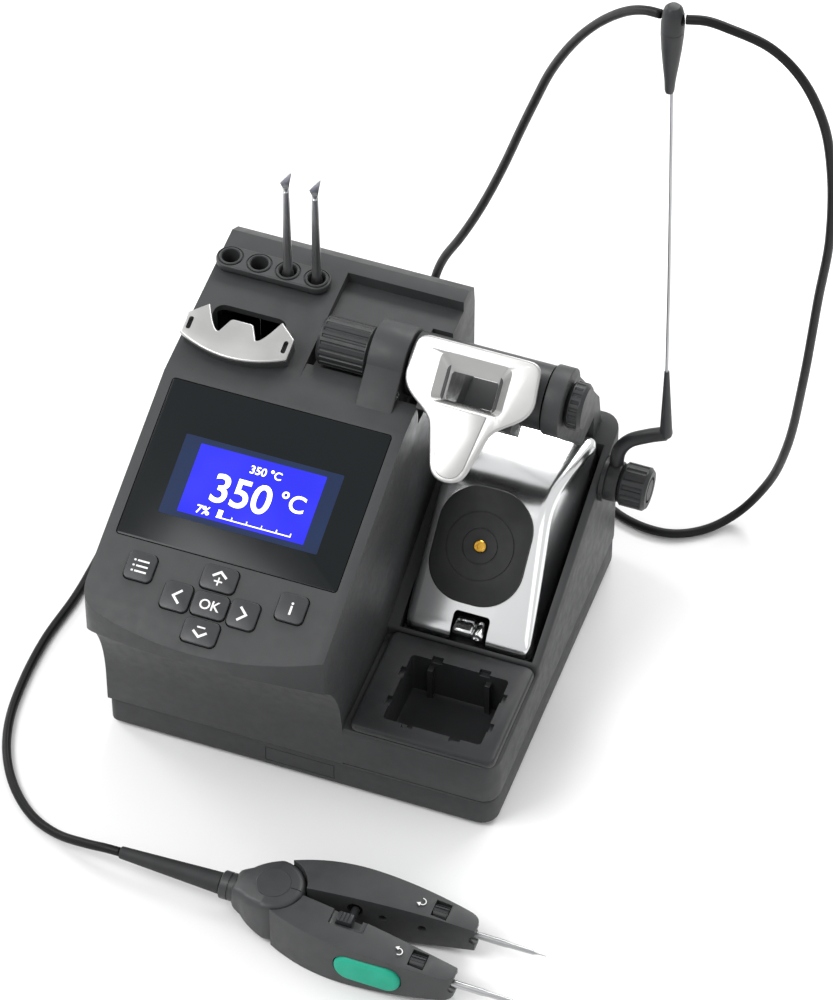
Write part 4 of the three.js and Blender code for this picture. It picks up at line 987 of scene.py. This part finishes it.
# %% Rear panel and fittings
def kept(node_name, edge, material, body, slot, new_name):
    """A copy of a part from the frame, with its own data cleared and its edges rounded."""
    source = frame["nodes"][node_name]
    twin = source.copy()
    twin.data = source.data.copy()
    for key in list(twin.keys()):
        del twin[key]
    bpy.context.collection.objects.link(twin)
    twin.parent = None
    twin.matrix_world = Matrix()
    twin.data.transform(TO_FRAME.inverted())
    in_edit_mode(twin, lambda: bpy.ops.mesh.remove_doubles(threshold=0.001))
    eased(twin, edge, 2, 35)
    return finish(twin, new_name, material, body, slot, node_name)


kept("rear_panel", 0.3, base_abs, "control_unit", "base", "rear_panel_sheet")
kept("mains_inlet", 0.5, black_nylon, "control_unit", "black_plastic", "mains_inlet_body")
kept("fuse_drawer", 0.5, black_nylon, "fuse", "black_plastic", "fuse_drawer_body")
kept("switch_frame", 0.5, black_nylon, "control_unit", "black_plastic", "switch_frame_body")
kept("power_rocker", 0.6, key_cap, "rocker", "black_plastic", "power_rocker_key")
kept("earth_jack", 0.3, plain_brass, "control_unit", "brass", "earth_jack_body")
kept("tool_socket", 0.6, black_nylon, "control_unit", "black_plastic", "tool_socket_body")
SOCKET_X, SOCKET_Z = -20, 52
plug = turned([(0, 69.3), (6.6, 69.3), (6.6, 76.4), (8.4, 76.5), (9, 77.1), (9, 81), (8.6, 81.4),
               (8.6, 82), (9, 82.4), (9, 89.4), (8.2, 90.2), (0, 90.2)],
              moved(SOCKET_X, 0, SOCKET_Z) @ TO_BACK, 64)
finish(plug, "cable_plug_body", turned_steel, "control_unit", "steel", "cable_plug")


# %% [markdown]
# ## Strain reliefs
# A strain relief is a tapered rubber sleeve. Grooves round it let it bend with the cable, more
# freely towards its thin end.

# %% Strain reliefs
def sleeve(length, thick, thin, grooves, place):
    """A tapered sleeve along Z, thick end at zero, with ring grooves."""
    profile = [(0, 0), (thick - 0.3, 0), (thick, 0.3)]
    for i in range(grooves):
        start = length * (0.16 + 0.62 * i / grooves)
        radius = thick + (thin - thick) * start / length
        profile += [(radius, start), (radius - 0.55, start + 0.3), (radius - 0.55, start + 1.0),
                    (radius - 0.02, start + 1.3)]
    profile += [(thin, length - 0.4), (thin - 0.3, length), (0, length)]
    return turned(profile, place, 40)


rear_relief = sleeve(17.7, 5, 2.6, 6, moved(SOCKET_X, 90.5, SOCKET_Z) @ TO_BACK)
finish(rear_relief, "plug_relief_sleeve", rubber, "control_unit", "rubber", "plug_relief")
grip_relief = sleeve(41, 4.2, 2.4, 0, HANDPIECE @ Matrix.Rotation(-math.pi / 2, 4, "Y"))
finish(grip_relief, "handle_relief_sleeve", rubber, "control_unit", "rubber", "handle_relief")

# %% [markdown]
# ## Handpiece
# The tweezers lie flat. Their rear body is a rounded nylon shell about the pivot, and two curved
# arms turn about it. All of it is built along its own X axis, and the far arm is a mirror image.

# %% Rear body and pivot cap
PIVOT_X = 21.0
plan = [(5, -5.6), (10, -7.5)] + bend((10, -7.5), (14, -11), (PIVOT_X, -12), 8)
plan += arc(PIVOT_X, 0, 12, -90, 90, 28)[1:] + bend((PIVOT_X, 12), (14, 11), (10, 7.5), 8) + [(5, 5.6)]
rear = prism(plan, -12, 12)
combined(rear, "INTERSECT", prism([(4, -5), (20, -10.6), (40, -10.6), (40, 10.6), (20, 10.6), (4, 5)],
                                  -15, 15, ALONG_Y))
eased(rear, 2.6, 5, 45)
join(rear, turned([(0, 0.3), (5.1, 0.3), (5.4, 0.6), (5.4, 6), (0, 6)], TO_RIGHT, 48))
cut(rear, turned([(5.0, 3.4), (6, 3.4), (6, 4.2), (5.0, 4.2)], TO_RIGHT, 48))
cut(rear, block(PIVOT_X + 6.8, PIVOT_X + 13, -0.15, 0.15, 9.9, 12))
rear.data.transform(HANDPIECE)
finish(rear, "handle_rear_shell", handpiece_nylon, "control_unit", "black_plastic", "handle_rear")
cap = turned([(0, 10.1), (6.4, 10.1), (6.6, 10.3), (6.6, 10.7), (6.4, 10.9), (0, 10.9)],
             HANDPIECE @ moved(PIVOT_X, 0, 0), 64)
finish(cap, "pivot_cap_disc", handpiece_nylon, "control_unit", "black_plastic", "pivot_cap")


# %% Arms
ARM_START = 12.6
TIP_Y = -11.8
LOCK_X, LOCK_Z = 52, 4


def polar(angle):
    """A point on the round end of an arm, which turns about the rear body."""
    turn_angle = math.radians(angle)
    return (PIVOT_X + ARM_START * math.cos(turn_angle), ARM_START * math.sin(turn_angle))


def arm_shell(side):
    """The arm on the near side. The far arm has a hole for the lock rod and two screw holes."""
    outer = [polar(-76)] + cubic(polar(-76), (34, -16.5), (44, -19), (58, -19), 14)
    outer += cubic((58, -19), (72, -19), (84, -17.6), (92, -16.6), 12)
    outer += bend((92, -16.6), (97, -16), (97, -12.6), 6)
    outer += [(97, -8.8), (84, -7.6)] + [polar(angle) for angle in range(-8, -76, -8)]
    flank = [(20, -10.6)] + bend((20, -10.6), (52, -14), (97, -5.8), 18) + [(97, 5.8)]
    flank += bend((97, 5.8), (60, 12.6), (20, 10.6), 18)
    arm_piece = combined(prism(outer, -14, 14), "INTERSECT", prism(flank, -5, 25, ALONG_Y))
    eased(arm_piece, 2.8, 5, 50)
    wheel_window = block(79.7, 85.8, -15.8, -8.4, 1.7, 15)
    grip_seat = prism(rounded(26.6, 13.1, 6, 65, -0.5, 10), 16.1, 30, ALONG_Y)
    cut(arm_piece, rod(1.65, 70, 100, TIP_Y, 0, sides=24), wheel_window, grip_seat,
        turned([(1.6, 94.6), (3.4, 94.6), (4.4, 99), (1.6, 99)],
               moved(0, TIP_Y, 0) @ TO_RIGHT, 32))
    if side < 0:
        cut(arm_piece, eased(block(46.4, 60.4, -10.2, 3, 9.9, 16), 0.8, 3, 40),
            block(48.7, 58.3, -8.9, 0, 8, 15), rod(1.8, -7.5, 0, LOCK_X, LOCK_Z, "Y", 24))
    else:
        cut(arm_piece, rod(3.1, -13, 0, LOCK_X - 0.4, LOCK_Z, "Y", 24), rod(1.6, -11, 0, 62, 2, "Y", 20),
            rod(1.6, -11, 0, 77, 0.6, "Y", 20))
    return arm_piece


def jaw_piece(piece, side, name, material, body, slot, *nodes):
    """Finishes a piece drawn on the near side, or its mirror image on the far side."""
    if side > 0:
        piece.data.transform(Matrix.Scale(-1, 4, (0, 1, 0)))
        in_edit_mode(piece, lambda: bpy.ops.mesh.flip_normals())
    piece.data.transform(HANDPIECE)
    return finish(piece, name, material, body, slot, *nodes)


def ribbed_wheel():
    wheel = turned([(0, 79.9), (3.1, 79.9), (3.4, 80.2), (3.4, 85.3), (3.1, 85.6), (0, 85.6)],
                   TO_RIGHT, 56)
    ribs = 14
    for i in range(ribs):
        turn = Matrix.Rotation(2 * math.pi * i / ribs, 4, "X")
        cut(wheel, block(79, 86.5, -0.32, 0.32, 2.95, 4, turn))
    wheel.data.transform(moved(0, -12.1, 5.4))
    return wheel


def turn_arrow():
    stroke = tube([(x, y, 0) for x, y in arc(0, 0, 1.4, -100, 110, 16)], 0.2, 8)
    head = prism([(-0.4, 0.5), (-0.4, 2.3), (-1.8, 1.3)], -0.15, 0.15)
    arrow = merged(stroke, head)
    arrow.data.transform(Matrix.Scale(0.3, 4, (0, 0, 1)))
    return arrow


for which, side in (("near", -1), ("far", 1)):
    jaw = f"{which}_jaw"
    jaw_piece(arm_shell(side), side, f"{which}_arm_shell", handpiece_nylon, jaw,
              "black_plastic", f"{which}_arm")
    pad_piece = prism(rounded(26, 12.5, 6, 65, -0.5, 14), 16.4, 20, ALONG_Y)
    eased(pad_piece, 1.6, 6, 40)
    jaw_piece(pad_piece, side, f"{which}_grip_pad", teal_grip, jaw, "grip", f"{which}_grip")
    jaw_piece(ribbed_wheel(), side, f"{which}_wheel_rim", black_nylon, f"{which}_roller",
              "black_plastic", f"{which}_wheel")
    tip = turned([(0, 71), (1.35, 71), (1.35, 108), (1.1, 110), (0.95, 119), (0.28, 121), (0.15, 124),
                  (0, 124)], moved(0, TIP_Y, 0) @ TO_RIGHT, 32)
    jaw_piece(tip, side, f"{which}_tip_cartridge", turned_steel, f"{which}_cartridge",
              "steel", f"{which}_tip")
    arrow = turn_arrow()
    arrow_lean = Matrix.Rotation(math.radians(9.5), 4, "Y")
    arrow.data.transform(moved(75.2, -12.2, 9.72) @ arrow_lean)
    jaw_piece(arrow, side, f"{which}_turn_mark", print_white, jaw, "black_plastic")

# %% Lock
slider = eased(block(49, 55, -8.6, -4.2, 8.3, 12.4), 0.5, 3, 40)
for x in (LOCK_X - 1.4, LOCK_X, LOCK_X + 1.4):
    cut(slider, block(x - 0.25, x + 0.25, -9, -4, 12.0, 13))
slider.data.transform(HANDPIECE)
finish(slider, "lock_slider_block", black_nylon, "lock", "black_plastic", "lock_slider")
lock_bar = turned([(0, -7), (1.2, -7), (1.5, -6.7), (1.5, 4.0), (1.0, 4.5), (0, 4.5)],
                  HANDPIECE @ moved(LOCK_X, 0, LOCK_Z) @ TO_BACK, 32)
finish(lock_bar, "lock_rod_bar", black_nylon, "near_jaw", "black_plastic", "lock_rod")

# %% [markdown]
# ## Cables
# One thin cable runs from the back up to the clip of the arm, and on over the clip in a high loop,
# down behind the station, round it on the bench and into the handpiece. It is fairly stiff, and
# the spring wire holds the loop up. The route is laid through listed points.

# %% Cable routes
CABLE_RADIUS = 1.8
REAR_ROUTE = [
    (-20, 108.6, 52), (-20, 116, 53), (-19.6, 122.5, 57.5), (-18.6, 126.6, 65), (-16.6, 127.2, 75),
    (-13, 125.4, 86), (-5, 121, 104), (2, 117.4, 121), (9, 113.6, 140), (17, 108.4, 164), (25, 102.6, 190),
    (32, 97.6, 212), (39, 92.6, 233), (47, 87, 252), (56, 81, 269.5), (66, 74.6, 285), (76, 68, 297.4),
    (83.5, 63.2, 304), (89.2, 60.3, 306.8),
]
FRONT_ROUTE = [
    (98.8, 60, 307.4), (106, 61, 308), (114, 62, 306), (128, 65, 299), (139, 67, 287), (148, 70, 265),
    (152, 73, 238), (152.5, 77, 200), (149, 82, 163), (144, 90, 108), (137, 101, 56), (128, 109, 22),
    (118, 106, 5), (108, 96, 2), (95, 89, 2), (78, 90, 2), (55, 102, 2), (25, 122, 2), (-15, 136, 2),
    (-55, 136, 2), (-88, 116, 2), (-105, 82, 2), (-111, 45, 2), (-113, 12, 2), (-114, -20, 2),
    (-117, -45, 2), (-117, -67, 2), (-114.5, -87, 2), (-109, -103, 2), (-100, -117, 2), (-88, -128, 2.6),
    (-75, -134.5, 5), (-62, -137.8, 9), (-53, -138.9, 11.3), (-47.3, -139.14, 11.8),
]


def lay_cable(name, route, node_name):
    line = flowing(route, 10)
    cable = tube(line, CABLE_RADIUS, 16)
    cable.name = cable.data.name = name
    cable.data.transform(TO_FRAME)
    only(cable)
    bpy.ops.object.shade_smooth()
    cable.data.materials.append(cable_jacket)
    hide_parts(node_name)
    path = [TO_FRAME @ point for point in line]
    length = sum((b - a).length for a, b in zip(path, path[1:]))
    print(name, "is", round(length, 3), "m long")
    return cable, path, length


rear_lead, rear_path, rear_length = lay_cable("rear_lead", REAR_ROUTE, "rear_cable")
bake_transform(rear_lead)
tool_lead, tool_path, tool_length = lay_cable("tool_lead", FRONT_ROUTE, "tool_cable")
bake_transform(tool_lead)


# %% [markdown]
# ## Parts taken over as they are
# Some parts already have their real shape in the frame. They only need their finish.

# %% Finishes for the parts that stay
by_slot = {
    "housing": housing_abs, "base": base_abs, "black_plastic": black_nylon, "buttons": key_cap,
    "rubber": rubber, "glass": smoked_window, "lcd": dim_blue, "circuit": board_green,
    "winding": winding_copper, "cast_metal": satin_nickel, "chrome": chrome, "steel": turned_steel,
    "brass": plain_brass, "grip": teal_grip, "cable": cable_jacket,
}
slot_of = {part["node"]: part["material_slot"] for part in frame["record"]["subparts"]}
for name, part in frame["nodes"].items():
    finish_of_part = by_slot[slot_of[name]]
    if not part.material_slots:
        part.data.materials.append(finish_of_part)
    for material_slot in part.material_slots:
        material_slot.material = finish_of_part

# %% Back to object mode, and the end
object_mode()
